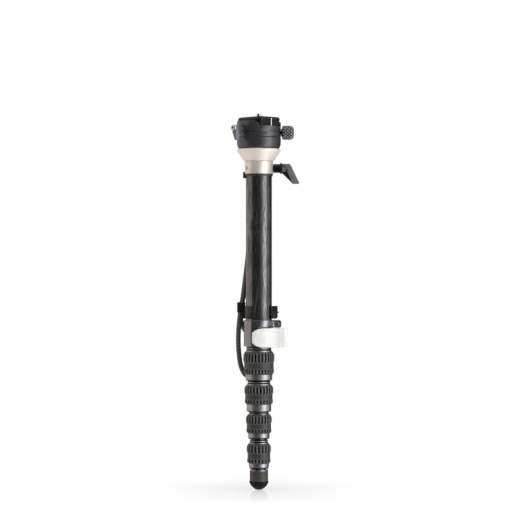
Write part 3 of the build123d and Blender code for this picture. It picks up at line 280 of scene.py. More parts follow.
# %% [markdown]
# ### Enamel and steel
#
# The flip lever is a cast alloy with white enamel, and the paddle has a grey enamel with a speckle in it.
# Screws and pins are bare steel. Enamel could be a metal under a coat, but nothing of the metal shows, so
# it is a plain coloured surface, and for the speckle one noise gives both the colour and the tiny bumps.

# %% Enamel and steel
# White enamel: clean white that keeps its shading, with a broad sheen. Steel: bright, with sharp highlights.
finish("lever_metal", "white_enamelled_alloy", Base_Color=colour("#f4f4f2"), Roughness=0.45)
finish("steel", "bright_steel", Base_Color=colour("#c9c9cc"), Metallic=1.0, Roughness=0.22)

# Speckled enamel: two greys in small spots, drawn coarser than the real ones so that they show.
SPECKLE, SPECKLE_DEPTH = (0.8, 0.8, 0.8), 0.05      # mm
tree, shader = finish("blade_grey", "speckled_grey_enamel", Metallic=0.4, Roughness=0.5)
speckle = grain(tree, SPECKLE, Detail=1.0)
add(tree, "ShaderNodeValToRGB", {"Fac": speckle}, [shader.inputs["Base Color"]],
    [(0.35, "#525254"), (0.65, "#8c8c8f")])
add(tree, "ShaderNodeBump", {"Height": speckle, "Distance": SPECKLE_DEPTH * MM}, [shader.inputs["Normal"]])
print("speckle", SPECKLE[0], "mm across")

# %% [markdown]
# ### Plastics and rubber
#
# The strap's lug and slider, the keeper and the guide bushes are moulded nylon, and the collets are white
# acetal. The grips are soft moulded rubber, and their colour holds painted shade and a painted highlight:
# dark down in the slots, where shade falls, and lighter on the rims and crests, where light catches. That
# could be found by tracing how deep each place lies, which is slow and noisy. The grip's own formula knows
# it already, so the mesh carries it as an attribute and the material reads it.

# %% Plastics and rubber
# Nylon: black with a soft sheen. Acetal: milky white.
finish("black_plastic", "black_moulded_nylon", Base_Color=colour("#161617"), Roughness=0.42)
finish("white_plastic", "white_acetal", Base_Color=colour("#d8d8d4"), Roughness=0.4)

# Grip rubber: the slots are black with painted shade and the rims light with a painted highlight; the
# sides are grey, and all is dull.
RUBBER_GRAIN, RUBBER_DEPTH = (0.7, 0.7, 0.7), 0.05      # mm, coarser than the mould's so that it shows
tree, shader = finish("grip_rubber", "ribbed_grip_rubber", Roughness=0.5)
relief_shade = add(tree, "ShaderNodeAttribute", attribute_name="relief_shade").outputs["Fac"]
add(tree, "ShaderNodeValToRGB", {"Fac": relief_shade}, [shader.inputs["Base Color"]],
    [(0.0, "#080808"), (0.3, "#141414"), (0.6, "#313232"), (1.0, "#747571")])
add(tree, "ShaderNodeBump", {"Height": grain(tree, RUBBER_GRAIN, Detail=2.0), "Distance": RUBBER_DEPTH * MM},
    [shader.inputs["Normal"]])

# Foot rubber: harder and black, with hardly a highlight.
FOOT_GRAIN, FOOT_DEPTH = (0.8, 0.8, 0.8), 0.04          # mm, coarser than the real one so that it shows
tree, shader = finish("foot_rubber", "hard_foot_rubber", Base_Color=colour("#100f0e"), Roughness=0.6,
                      Specular_IOR_Level=0.15)
add(tree, "ShaderNodeBump", {"Height": grain(tree, FOOT_GRAIN, Detail=2.0), "Distance": FOOT_DEPTH * MM},
    [shader.inputs["Normal"]])
print("finishes so far:", len(materials))

# %% [markdown]
# ### Knurling and cord
#
# The pan knob's knurling and the cord's weave are both ridges with dark gaps between. They could be bumps
# on a plain colour, but at this size a bump hardly shows. Both shapes are real ridges below, and their
# height comes along as an attribute that paints shade into the gaps and a highlight onto the ridges.

# %% Knurling and cord
# Knurled metal: a painted highlight makes the points grey and painted shade makes the cuts dark. Woven cord:
# a painted highlight makes the ridges grey and painted shade makes the gaps black, and there is no sheen.
RIDGED = (("knurled", "knurled_black_aluminium", 0.6, 0.4, [(0.15, "#19191b"), (0.85, "#8e8d96")]),
          ("cord", "woven_black_cord", 0.0, 0.6, [(0.3, "#050505"), (0.8, "#6a6966")]))
for slot, name, metallic, roughness, stops in RIDGED:
    tree, shader = finish(slot, name, Metallic=metallic, Roughness=roughness)
    ridge = add(tree, "ShaderNodeAttribute", attribute_name="relief_shade").outputs["Fac"]
    add(tree, "ShaderNodeValToRGB", {"Fac": ridge}, [shader.inputs["Base Color"]], stops)
print("finishes:", len(materials))

# %% [markdown]
# ## Placing a piece
#
# Each finer piece takes the place of a CAD piece and has to move with it. It could be parented by hand,
# but then a forgotten one would stay behind. One function makes the object, dresses it, lets it ride on
# the right body and hides the piece that it replaces. Pieces that only add a detail hide nothing.

# %% Placing a piece
def place(name, mesh, *stands_for, look=None, replace=True):
    """Make an object of the mesh, dress it, and let it ride on the body of the node that it stands for.

    Its finish is the look, or else the one of that node's slot in the record.
    """
    piece = bpy.data.objects.new(name, mesh)
    bpy.context.scene.collection.objects.link(piece)
    slot = slot_of[stands_for[0]]
    mesh.materials.append(materials[look or slot])
    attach(piece, body_of[stands_for[0]])
    if replace:
        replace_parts(piece, *stands_for)
    return piece


print("bodies to ride on:", len(set(body_of.values())))

# %% [markdown]
# ## From a grid to a mesh
#
# Every new surface here is a grid of points: rows along a profile or path, columns round it. Vertices and
# faces could be added one at a time, which is slow, or by modifiers, which hide the sizes. One function
# turns a whole grid into a mesh at once. Rows that shrink to a point close there, because doubled points
# are merged, and edges sharper than a limit stay crisp.

# %% From a grid to a mesh
SAME_POINT = 1e-7               # metres


def skin(name, points, close_rows=False, close_columns=True, values=None, sharp=40):
    """A mesh from a grid of points in mm: each cell between four neighbouring points is one face.

    Doubled points, as at a pole, are merged. values is one number for each point, kept as "relief".
    """
    rows, columns = points.shape[:2]
    index = np.arange(rows * columns).reshape(rows, columns)
    if close_rows:
        index = np.vstack([index, index[:1]])
    if close_columns:
        index = np.hstack([index, index[:, :1]])
    cells = np.stack([index[:-1, :-1], index[:-1, 1:], index[1:, 1:], index[1:, :-1]], -1).reshape(-1, 4)
    mesh = bpy.data.meshes.new(name)
    mesh.from_pydata((points.reshape(-1, 3) * MM).tolist(), [], cells.tolist())
    if values is not None:
        mesh.attributes.new("relief_shade", "FLOAT", "POINT").data.foreach_set("value", values.ravel().astype("f"))
    work = bmesh.new()
    work.from_mesh(mesh)
    bmesh.ops.remove_doubles(work, verts=work.verts, dist=SAME_POINT)
    work.to_mesh(mesh)
    work.free()
    mesh.shade_smooth()
    mesh.set_sharp_from_angle(angle=math.radians(sharp))
    return mesh


print("a grid becomes a mesh, with points nearer than", SAME_POINT, "m merged")

# %% [markdown]
# ## The wrist strap
#
# A woven cord hangs in a long loop from two sockets under the collar, drawn together by a slider. A cloth
# or rope simulation could hang it, but then its place changes with every version. So its middle line is
# given by a route of control points, down from one socket, round the loop and up to the other.

# %% Strap route
ROUTE = np.array([
    (-12.85, 18.35, 413.5), (-12.85, 18.35, 386), (-12.2, 18.8, 358), (-13.2, 18.0, 330), (-16.2, 15.6, 300),
    (-19.4, 13.6, 274), (-22.0, 12.4, 254), (-25.6, 11.6, 234), (-27.4, 10.4, 214), (-27.9, 11.0, 196),
    (-26.8, 13.0, 180), (-24.6, 15.6, 164.5), (-19.6, 20.0, 153.1), (-10.5, 26.6, 147.6), (-0.4, 33.4, 149.0),
    (7.2, 38.6, 157.2), (10.4, 41.0, 169.4), (8.6, 40.4, 183.0), (1.4, 37.0, 193.6), (-9.0, 31.6, 201.6),
    (-18.2, 26.2, 211.0), (-23.8, 22.4, 222.2), (-25.6, 20.0, 234), (-22.0, 20.8, 254), (-17.0, 22.6, 274),
    (-10.5, 23.6, 300), (-6.0, 23.2, 330), (-4.2, 22.6, 358), (-3.89, 22.06, 386), (-3.89, 22.06, 413.5)])
print("strap's loop hangs", round(ROUTE[0, 2] - ROUTE[:, 2].min(), 1), "mm below its sockets")

# %% [markdown]
# A cord bends smoothly from point to point. Straight runs with rounded corners would look stiff, so the
# route becomes a spline, which the curve tool turns into points. Those lie closer together in tight bends,
# and the cord's ridges have to be even, so the line is cut anew into equal steps.

# %% Strap's middle line
CORD_STEP = 0.28                # mm between the tube's rings


def spline_points(route):
    """Points along a NURBS spline of order 3 whose control points are the route."""
    line = bpy.data.curves.new("route", "CURVE")
    line.dimensions = "3D"
    spline = line.splines.new("NURBS")
    spline.points.add(len(route) - 1)
    spline.points.foreach_set("co", np.c_[route, np.ones(len(route))].ravel())
    spline.order_u = 3                              # smooth, and still close to the control points
    spline.use_endpoint_u = True
    spline.resolution_u = 24                        # finer than the even steps that follow
    holder = bpy.data.objects.new("route", line)
    drawn = bpy.data.meshes.new_from_object(holder)
    points = np.empty(len(drawn.vertices) * 3)
    drawn.vertices.foreach_get("co", points)
    bpy.data.objects.remove(holder)
    return points.reshape(-1, 3)


def even_steps(line, step):
    """The same line with its points a step apart, by linear interpolation along its length."""
    run = np.r_[0, np.cumsum(np.linalg.norm(np.diff(line, axis=0), axis=1))]
    places = np.linspace(0, run[-1], int(run[-1] / step) + 1)
    return np.stack([np.interp(places, run, values) for values in line.T], 1), places


middle_line, run = even_steps(spline_points(ROUTE), CORD_STEP)
print("strap:", round(run[-1], 1), "mm along its middle line, in", len(run), "points")

# %% [markdown]
# The cord is braided, and its strands run slantwise round it as a row of small ridges. The curve's own
# bevel would give a smooth hose, and a real braid would need millions of faces. A tube whose radius rises
# and falls with a twisted wave gives the ridges at little cost.

# %% Cord
CORD_RADIUS, CORD_SIDES = 3.4, 20
RIB_PITCH = 3.2                 # mm, about twice as coarse as the real ribs, which would not show
RIB_HEIGHT = 0.35


def ribbed_tube(line, run, radius, pitch, height, sides, flat):
    """Tube round a line: p = line + r(s, a)*(cos(a)*b + sin(a)*c), r = radius - height*(1 - ridge).

    b is flat without its share along the line, c is at right angles to both, and ridge rises and falls
    as a twisted rib: ridge = |sin(pi*s/pitch + a/2)| at run s and angle a.
    """
    forward = np.gradient(line, axis=0)
    forward /= np.linalg.norm(forward, axis=1)[:, None]
    across = flat - (forward @ flat)[:, None] * forward
    across /= np.linalg.norm(across, axis=1)[:, None]
    other = np.cross(forward, across)
    angle = np.linspace(0, 2 * np.pi, sides, endpoint=False)
    ridge = np.abs(np.sin(np.pi * run[:, None] / pitch + angle[None, :] / 2))
    reach = (radius - height * (1 - ridge))[:, :, None]
    ring = np.cos(angle)[None, :, None] * across[:, None] + np.sin(angle)[None, :, None] * other[:, None]
    points = line[:, None] + reach * ring
    ends = np.repeat(line[[0, -1]][:, None], sides, 1)
    points = np.concatenate([ends[:1], points, ends[1:]])
    return points, np.concatenate([ridge[:1], ridge, ridge[-1:]])


LOOP_PLANE = np.array((-0.62, 0.78, 0.0))       # flat direction that the tube's first column keeps to
cord_grid, weave_height = ribbed_tube(middle_line, run, CORD_RADIUS, RIB_PITCH, RIB_HEIGHT, CORD_SIDES,
                                      LOOP_PLANE)
print("cord:", cord_grid.shape[0], "rings of", CORD_SIDES, "points")

# %% [markdown]
# Moulded and machined pieces have no truly sharp corners, and each small rounding catches a line of
# light. A bevel modifier could round them, but a profile that is already round gives full control of each
# corner. So the corners of a line of points are swapped for short curves.

# %% Rounded corners
LEG_SHARE = 0.48                # a curve takes at most this share of each leg


def rounded(corners, radii, steps=6):
    """Round the corners of a line of (radius, height) points.

    Each corner turns into a short curve p = (1-t)^2 a + 2t(1-t) corner + t^2 b, where a and b lie on the
    two legs, one rounding radius away from the corner. The first and last points stay as they are.
    """
    corners = np.array(corners, float)
    radii = np.broadcast_to(np.array(radii, float), len(corners)).copy()
    radii[[0, -1]] = 0
    before, after = np.roll(corners, 1, 0) - corners, np.roll(corners, -1, 0) - corners
    reach = [np.maximum(np.linalg.norm(leg, axis=1), 1e-9)[:, None] for leg in (before, after)]
    start = corners + before / reach[0] * np.minimum(radii[:, None], reach[0] * LEG_SHARE)
    end = corners + after / reach[1] * np.minimum(radii[:, None], reach[1] * LEG_SHARE)
    t = np.linspace(0, 1, steps)[None, :, None]
    curve = (1 - t) ** 2 * start[:, None] + 2 * t * (1 - t) * corners[:, None] + t**2 * end[:, None]
    line = curve.reshape(-1, 2)
    apart = np.linalg.norm(np.diff(line, axis=0), axis=1) > 1e-6        # a corner left sharp gives doubles
    return line[np.r_[True, apart]]


print("a rounded square corner:", len(rounded([(0, 0), (9, 0), (9, 9)], 2.0)), "points")

# %% [markdown]
# The slider is a small nylon block through which both legs of the cord pass. A cube with a bevel would do,
# but its outline is rounded more than its ends. So an outline is carried along an axis and drawn in at
# both ends, and the paddle's rib and web are made in the same way later.

# %% Strap slider
def slab(outline, low, high, edge=0.5, along="z"):
    """A slab with rounded edges: its outline carried along an axis and drawn in towards its middle.

    At edge*(1 - cos t) from either end it is drawn in by edge*(1 - sin t), with t from 0 to a quarter turn.
    The outline's points are (x, y) for a slab along z, or (x, z) for one along y.
    """
    outline = np.array(outline, float)
    middle = outline.mean(0)
    far = np.linalg.norm(outline - middle, axis=1)[:, None]
    turn = np.linspace(0, np.pi / 2, 5)
    drawn = np.r_[1 - np.sin(turn), 1 - np.cos(turn)] * edge
    places = np.r_[low + edge * (1 - np.cos(turn)), high - edge * (1 - np.sin(turn))]
    rings = [middle + (outline - middle) * (1 - inset / far) for inset in drawn]
    rings = [np.tile(middle, (len(outline), 1))] + rings + [np.tile(middle, (len(outline), 1))]
    places = np.r_[low, places, high]
    points = [np.insert(ring, 1 if along == "y" else 2, place, axis=1) for ring, place in zip(rings, places)]
    return np.stack(points if along == "z" else points[::-1])


SLIDER_MIDDLE, SLIDER_HALF, SLIDER_SPAN = (-23.8, 16.2), (5.6, 9.7), (237.0, 251.0)
SLIDER_ROUND, SLIDER_EDGE = 3.5, 1.2
corner = np.array(((-1, -1), (0, -1), (1, -1), (1, 1), (-1, 1), (-1, -1), (0, -1)))
outline = rounded(np.array(SLIDER_MIDDLE) + corner * SLIDER_HALF, [0, 0] + [SLIDER_ROUND] * 4 + [0])[1:-1]
block = slab(outline, *SLIDER_SPAN, edge=SLIDER_EDGE)
slider = place("slider_block", skin("slider_block", block), "strap_slider")
print("slider:", SLIDER_SPAN[1] - SLIDER_SPAN[0], "mm tall")

# %% [markdown]
# The strap and its slider always hang together, but here they are two pieces that know nothing of each
# other. The strap is the ribbed tube made above, and it takes the place of the CAD cord.

# %% Strap
# The weave's height paints shade between the cord's ribs and a highlight on them.
strap = place("strap", skin("strap", cord_grid, values=weave_height, sharp=180), "strap_cord")
print("strap placed with", len(strap.data.vertices), "points")

# %% [markdown]
# ## Turning on the lathe
#
# Most pieces of the leg and head came off a lathe. The Screw modifier or the Spin tool could carry a
# profile round an axis too. Worked out with numpy, every point is at hand afterwards, so that slots,
# knurls and a hex socket can be cut by changing radii before the mesh is made.

# %% Turned skins
SIDES = 128


def turned(profile, start=(0, 0, 0), along=(0, 0, 1), sides=SIDES):
    """Points of a lathe-turned skin: p = start + h*along + r*(cos(a)*side + sin(a)*up).

    The profile's rows are (r, h) in mm, and the columns are the angles a round the axis.
    """
    along = np.array(along, float) / np.linalg.norm(along)
    side = np.cross((0, 0, 1), along) if abs(along[2]) < 0.9 else np.array((1.0, 0, 0))
    side /= np.linalg.norm(side)
    up = np.cross(along, side)
    angle = np.linspace(0, 2 * np.pi, sides, endpoint=False)
    circle = np.cos(angle)[:, None] * side + np.sin(angle)[:, None] * up
    radius, height = np.array(profile, float).T
    return np.array(start, float) + height[:, None, None] * along + radius[:, None, None] * circle


print("a turned piece has", SIDES, "sides")

# %% [markdown]
# ## Tubes
#
# The tubes are plain rings of carbon with slightly broken ends. A Solidify modifier on a cylinder would
# give the same wall. A closed profile, up the outside and down the inside, gives the wall and its rounded
# ends in one go, and serves for every other ring below.

# %% Tubes
def ring_profile(outer, inner, low, high, edge=0.4):
    """Closed profile of a ring: up its outside and down its inside, with rounded outer corners."""
    corners = [(inner, low), (outer, low), (outer, high), (inner, high), (inner, low)]
    return rounded(corners, [0, edge, edge, edge * 0.5, 0])


TUBE_RADII = [span(f"section_{number}_tube", 0)[1] for number in range(1, 7)]
TUBE_WALL = 1.1
TUBE_EDGE = 0.2
for number, radius in enumerate(TUBE_RADII, 1):
    name, (low, high) = f"carbon_tube_{number}", span(f"section_{number}_tube")
    profile = ring_profile(radius, radius - TUBE_WALL, low, high, TUBE_EDGE)
    place(name, skin(name, turned(profile)), f"section_{number}_tube")
    print(name, "radius", round(radius, 2), "mm, length", round(high - low, 1), "mm")

# %% [markdown]
# ## Collar and cone
#
# Between the tube and the silver collar sits a black ring with a fine groove near its foot. The groove
# could be a bump, but it shows in the outline, so it is part of the profile.

# %% Trim ring
TRIM_BORE, TRIM_FOOT, TRIM_RADIUS, TRIM_GROOVE = 17.53, 18.7, 18.9, 18.3      # radii in mm
GROOVE_RISES = (1.1, 1.4, 1.8)                                                # above its foot in mm
trim_low, trim_high = span("trim_ring")
groove = [trim_low + above for above in GROOVE_RISES]
trim = rounded([(TRIM_BORE, trim_low), (TRIM_FOOT, trim_low), (TRIM_RADIUS, groove[0]),
                (TRIM_GROOVE, groove[1]), (TRIM_RADIUS, groove[2]), (TRIM_RADIUS, trim_high),
                (TRIM_BORE, trim_high), (TRIM_BORE, trim_low)], [0, 0.5, 0.2, 0.2, 0.2, 0.3, 0, 0])
place("trim_band", skin("trim_band", turned(trim)), "trim_ring")
print("trim ring", round(trim_high - trim_low, 1), "mm tall")

# %% [markdown]
# The platform is a silver cone that opens upwards to carry the head, with a short upright rim and a
# spindle that turns inside the collar. The CAD cone has sharp edges. Its profile is drawn again here with
# soft ones, and more sides than a tube has, because its rim is wide and close to the eye.

# %% Cone
WIDE_SIDES = 192
COLLAR_GAP, SPINDLE_RADIUS, CONE_FOOT = 0.3, 9.0, 19.8
RIM_LOW, RIM_HIGH = 2.7, 1.6    # mm below the cone's top
cone_low, cone_high = span("top_collar")[1] + COLLAR_GAP, span("platform")[1]
spindle_low, platform_radius = span("platform")[0], span("platform", 0)[1]
cone = rounded([(0, spindle_low), (SPINDLE_RADIUS, spindle_low), (SPINDLE_RADIUS, cone_low),
                (CONE_FOOT, cone_low), (platform_radius, cone_high - RIM_LOW),
                (platform_radius, cone_high - RIM_HIGH), (platform_radius - RIM_HIGH, cone_high),
                (0, cone_high)], [0, 0.3, 0, 0.9, 0.7, 0.4, 0.3, 0])
place("cone", skin("cone", turned(cone, sides=WIDE_SIDES)), "platform", look="champagne_blasted")
print("platform from", round(cone_low, 1), "to", round(cone_high, 1), "mm")

# %% [markdown]
# ## Bowl
#
# The bowl swells from a narrow foot to the head's full width. The CAD draws its side as an arc through
# three points, which could be used again. A quarter of an ellipse passes through nearly the same points
# and needs only its two half-widths: r = head - inset * (1 - sin t), z = foot + swell * (1 - cos t).

# %% Bowl
FOOT_INSET, SWELL, SPIGOT = 3.8, 9.4, (11.0, 3.1)
head_radius = span("pan_body", 0)[1]
bowl_low, bowl_top = span("head_base")
bowl_rim = bowl_top - SPIGOT[1]
turn = np.linspace(0, np.pi / 2, 24)
bowl_side = np.c_[head_radius - FOOT_INSET * (1 - np.sin(turn)), bowl_low + SWELL * (1 - np.cos(turn))]
bowl_shoulder = rounded([(head_radius, bowl_low + SWELL), (head_radius, bowl_rim), (SPIGOT[0], bowl_rim)],
                        [0, 0.9, 0])
bowl = np.vstack([[(0, bowl_low)], bowl_side, bowl_shoulder, [(SPIGOT[0], bowl_top), (0, bowl_top)]])
place("bowl", skin("bowl", turned(bowl, sides=WIDE_SIDES)), "head_base")
print("bowl's rim at", round(bowl_rim, 1), "mm")

# %% [markdown]
# ## Twist locks
#
# Each lock wears a rubber sleeve with two rows of upright slots and a smooth waist. Boolean cuts could make
# the slots, at the price of ragged shading. Here the rubber's radius is a function of the angle and the
# height: the sleeve's own profile, pushed in where a slot is. First come the sizes, read off the photograph.

# %% Sleeve sizes
GRIP_SHARES = (0.08, 0.19, 0.28, 0.52, 0.62, 0.86)  # corners of the profile, as shares of its height
GRIP_RISES = (2.4, 2.4, 1.8, 1.8, 2.9, 2.9)         # and how far they stand out from the band, in mm
EDGE_RISE, GRIP_ROUND = 0.5, 1.6
SLOT_ROWS = ((0.54, 0.94), (0.05, 0.24))            # shares of the height
SLOTS = {1: 28, 2: 26, 3: 24, 4: 20}                # counted for each lock
SLOT_WIDTH, SLOT_FLOOR, SLOT_RISE = 2.3, 0.8, 2.0   # mm, the last is where the width is measured
# The rim round each slot carries a painted highlight, and each slot's floor carries painted shade.
RIM_PLACE, RIM_WIDTH = 0.5, 0.4                     # mm, the light rim round each slot
COLUMNS = 18                    # grid columns for each slot
SLOT_EDGE = 0.8                 # mm, the width of the step down into a slot
PLAIN_TONE = 0.62               # relief of plain rubber: 0 is a slot's floor and 1 a crested rim
FIT = 0.03                      # mm of air between pieces that fit together
print("slots in each row, by lock:", SLOTS)

# %% [markdown]
# A slot is the set of points nearer than half its width to an upright line, so its ends are round. It
# could be a simple on or off, but then its walls would be as ragged as the grid. A smooth step gives them
# a slope, and the same distance gives the painted highlight on the rim round each slot.

# %% Rubber sleeve
def grip_grid(base, low, high, slots, rows=110):
    """Rubber sleeve: r(a, z) = side(z) - cut(a, z) * (side(z) - floor), where side is the crested profile.

    cut is 1 inside a slot and 0 outside: s*s*(3 - 2*s), where s falls from 1 to 0 across the slot's edge.
    Returns the points and the painted shade and highlight: 0, darkest, on a slot's floor, 1, lightest, on the
    slots' rims and crests.
    """
    height = high - low
    rises = [(base + rise, low + share * height) for share, rise in zip(GRIP_SHARES, GRIP_RISES)]
    side_line = rounded([(base + EDGE_RISE, low)] + rises + [(base + EDGE_RISE, high)], GRIP_ROUND, steps=10)
    z = np.linspace(low, high, rows)
    side = np.interp(z, side_line[:, 1], side_line[:, 0])
    angle = np.linspace(0, 2 * np.pi, slots * COLUMNS, endpoint=False)
    spacing = 2 * np.pi / slots
    across = (np.mod(angle + spacing / 2, spacing) - spacing / 2) * (base + SLOT_RISE)
    cut = np.zeros((rows, len(angle)))
    rim = np.zeros((rows, len(angle)))
    for first, last in SLOT_ROWS:
        start, end = low + first * height + SLOT_WIDTH / 2, low + last * height - SLOT_WIDTH / 2
        beyond = np.maximum(np.maximum(start - z, z - end), 0)
        gap = np.hypot(across[None, :], beyond[:, None]) - SLOT_WIDTH / 2
        step = np.clip(0.5 - gap / SLOT_EDGE, 0, 1)
        cut = np.maximum(cut, step * step * (3 - 2 * step))
        rim = np.maximum(rim, np.exp(-((gap - RIM_PLACE) / RIM_WIDTH) ** 2))
    radius = side[:, None] - cut * np.maximum(side - base - SLOT_FLOOR, 0)[:, None]
    crest = np.clip((side - base) / max(GRIP_RISES), 0, 1)[:, None]
    # Painted shade darkens the slots, and a painted highlight lightens the rims where the rubber crests.
    relief_shade = np.clip(PLAIN_TONE * (1 - cut) + (1 - PLAIN_TONE) * rim * crest, 0, 1)
    bore = np.full(len(angle), base + FIT)
    radius = np.vstack([bore, radius, bore])
    height = np.concatenate([[low], z, [high]])[:, None]
    points = np.stack([radius * np.cos(angle), radius * np.sin(angle), height + 0 * radius], -1)
    return points, np.pad(relief_shade, ((1, 1), (0, 0)), constant_values=0.5)


print("sleeve columns round lock 1:", SLOTS[1] * COLUMNS)

# %% [markdown]
# Under the rubber is a bare metal band, and above it stands the ring of the ferrule, the threaded sleeve
# that the lock is screwed on. The ring has lips with grooves between. Those could be a pattern of dark
# lines, but seen from half way up the lips cover the grooves more or less from lock to lock, and only real
# ones do that. Each profile goes up the outside and comes down inside, round the tube and the thread.

# %% Band and ferrule profiles
LIP_SHARES = (0.28, 0.32, 0.54, 0.58, 0.8, 0.84)   # ferrule: lip, groove, lip, groove, lip, neck
LIP_DEPTH, UPPER_INSET = 1.6, 0.5                  # mm
THREAD_ROOM, SEAT, BAND_FLOOR = 0.3, 1.5, 2.5      # mm
MOUTH_INSET, MOUTH_RISE = 0.3, 0.8                 # mm, the band narrows to its mouth


def band_profile(base, inner, passage, low, high, sleeve_low):
    """Bare metal band: from its mouth up its outside, and down inside to the ferrule's seat."""
    thread = inner + THREAD_ROOM
    return rounded([(passage, low), (base - MOUTH_INSET, low), (base, low + MOUTH_RISE), (base, high),
                    (thread, high), (thread, sleeve_low), (passage, low + BAND_FLOOR), (passage, low)],
                   [0, 0.4, 0.4, 0.4, 0, 0, 0, 0])


def ferrule_profile(shown, inner, tube, passage, sleeve_low, ring_low, ring_high):
    """Ferrule: its threaded sleeve, the lips above it and its bore. Also returns the heights of its steps."""
    neck, step = shown - LIP_DEPTH, [ring_low + share * (ring_high - ring_low) for share in LIP_SHARES]
    upper, seat = shown - UPPER_INSET, sleeve_low + SEAT
    lips = [(shown, ring_low), (shown, step[0]), (neck, step[1]), (neck, step[2]), (upper, step[3]),
            (upper, step[4]), (neck, step[5]), (neck, ring_high)]
    line = [(passage, sleeve_low), (inner, sleeve_low), (inner, ring_low)] + lips
    line += [(tube, ring_high), (tube, seat), (passage, seat), (passage, sleeve_low)]
    return rounded(line, [0, 0.1, 0, 0.25, 0.3, 0.1, 0.1, 0.3, 0.25, 0.1, 0.1, 0, 0, 0, 0]), step


print("ferrule lips stand out", LIP_DEPTH, "mm")

# %% [markdown]
# In the grooves sit two black washers, a seal between the lips and a wiper at the top, and each band
# stands on a black ring round its mouth. Their black is partly their own and partly painted shade, which
# falls into the grooves and the gap under each band. A dark paint could stand for them, but rings of their
# own keep a clean edge at any angle. They have no CAD piece, so they ride on the ferrule and on the nut and
# replace nothing. One loop builds all four locks, which differ only in the sizes that their CAD pieces give.

# %% Twist locks
MOUTH_RING = 1.5                # mm, black ring under each metal band
SLIDE_GAP = 0.3                 # mm between a ferrule and the tube that slides in it
FERRULE_SHARE = 0.42            # of the wall between tube and band
FERRULE_INSET, FERRULE_GAP = 0.6, 0.3               # mm, inside the band's radius and above it
RING_WIDE, RING_GAP, RING_EDGE = 0.5, 0.05, 0.1     # washers and mouth rings, in mm
for number in (4, 3, 2, 1):
    low, high = span(f"lock_{number}_nut")
    sleeve_low, ring_high = span(f"lock_{number}_ferrule")
    base = span(f"lock_{number}_nut", 0)[1]
    tube, passage = TUBE_RADII[number] + FIT, TUBE_RADII[number + 1] + SLIDE_GAP
    inner = tube + (base - tube) * FERRULE_SHARE
    band = turned(band_profile(base, inner, passage, low, high, sleeve_low))
    place(f"lock_{number}_band", skin(f"lock_{number}_band", band), f"lock_{number}_nut")
    grid, relief_shade = grip_grid(base, span(f"lock_{number}_grip")[0], high, SLOTS[number])
    sleeve = skin(f"lock_{number}_rubber", grid, close_rows=True, values=relief_shade, sharp=60)
    place(f"lock_{number}_rubber", sleeve, f"lock_{number}_grip")
    shown = base - FERRULE_INSET
    ferrule, step = ferrule_profile(shown, inner, tube, passage, sleeve_low, high + FERRULE_GAP, ring_high)
    place(f"lock_{number}_ring", skin(f"lock_{number}_ring", turned(ferrule)), f"lock_{number}_ferrule")
    below = span("foot_holder" if number == 4 else f"lock_{number + 1}_ferrule")[1]
    neck = shown - LIP_DEPTH
    # The seals, wipers and mouth rings are real black rings, and their black also paints the shade in the
    # grooves and in the gap under each band.
    rings = (("seal", neck + RING_WIDE, neck + FIT, step[1] + RING_GAP, step[2] - RING_GAP, "ferrule"),
             ("wiper", neck + RING_WIDE, neck + FIT, step[5] + RING_GAP, ring_high - RING_GAP, "ferrule"),
             ("mouth_ring", base - RING_WIDE, passage, max(below + FERRULE_GAP, low - MOUTH_RING), low - FIT,
              "nut"))
    for name, outer, bore, ring_low, ring_top, holder in rings:
        ring = turned(ring_profile(outer, bore, ring_low, ring_top, RING_EDGE))
        place(f"lock_{number}_{name}", skin(f"lock_{number}_{name}", ring), f"lock_{number}_{holder}",
              look="foot_rubber", replace=False)
    print("lock", number, "band radius", round(base, 2), "mm, room below", round(low - below, 2), "mm")

# %% [markdown]
# ## Foot
#
# The leg ends in a blasted metal cup with one fine groove and a bright bead at its top. The cup could be a
# bevelled cylinder, but inside it also has to leave room for the last tube and for the rubber's stem, and
# a profile holds all of that. The bead is a ring of its own, because its metal is brighter.

# %% Foot cup
CUP_TUBE, CUP_STEM, CUP_FLOOR = 9.03, 7.03, (5.0, 6.7)      # two bores, and the floor between them
CUP_GROOVE, BEAD = 0.6, 1.5                                 # the groove's depth and the bead's height
GROOVE_DROPS = (5.4, 5.3, 4.7, 4.6)                         # mm, the groove's four corners below the top
cup_low, cup_high = span("foot_holder")
cup_radius = span("foot_holder", 0)[1]
cup_neck, bead_low = cup_radius - CUP_GROOVE, cup_high - BEAD
groove = [cup_high - drop for drop in GROOVE_DROPS]
cup = rounded([(0, cup_low + CUP_FLOOR[0]), (CUP_STEM, cup_low + CUP_FLOOR[0]), (CUP_STEM, cup_low),
               (cup_radius, cup_low), (cup_radius, groove[0]), (cup_neck, groove[1]),
               (cup_neck, groove[2]), (cup_radius, groove[3]), (cup_radius, bead_low),
               (CUP_TUBE, bead_low), (CUP_TUBE, cup_low + CUP_FLOOR[1]), (0, cup_low + CUP_FLOOR[1])],
              [0, 0, 0, 0.3, 0.15, 0, 0, 0.15, 0.7, 0.2, 0, 0])
place("foot_cup", skin("foot_cup", turned(cup)), "foot_holder")
bead = ring_profile(cup_radius - 0.1, CUP_TUBE, bead_low, cup_high)
place("foot_bead", skin("foot_bead", turned(bead)), "foot_holder", look="gunmetal", replace=False)
print("cup", round(cup_high - cup_low, 1), "mm tall")

# %% [markdown]
# The foot itself is a hard rubber dome, cut flat where it stands. Half a ball would be too round and too
# tall. The dome's side is one arc, found as the circle through three of its points: the flat's edge, a
# point on the shoulder and the widest place.

# %% Foot dome
def arc_through(first, middle, last, steps):
    """Points on the circle through three points: its centre c solves |first-c| = |middle-c| = |last-c|."""
    first, middle, last = (np.array(point, float) for point in (first, middle, last))
    sides = 2 * np.array([middle - first, last - first])
    centre = np.linalg.solve(sides, [middle @ middle - first @ first, last @ last - first @ first])
    angles = [math.atan2(*(point - centre)[::-1]) for point in (first, last)]
    turn = np.linspace(*angles, steps)[:, None]
    return centre + np.linalg.norm(first - centre) * np.hstack([np.cos(turn), np.sin(turn)])


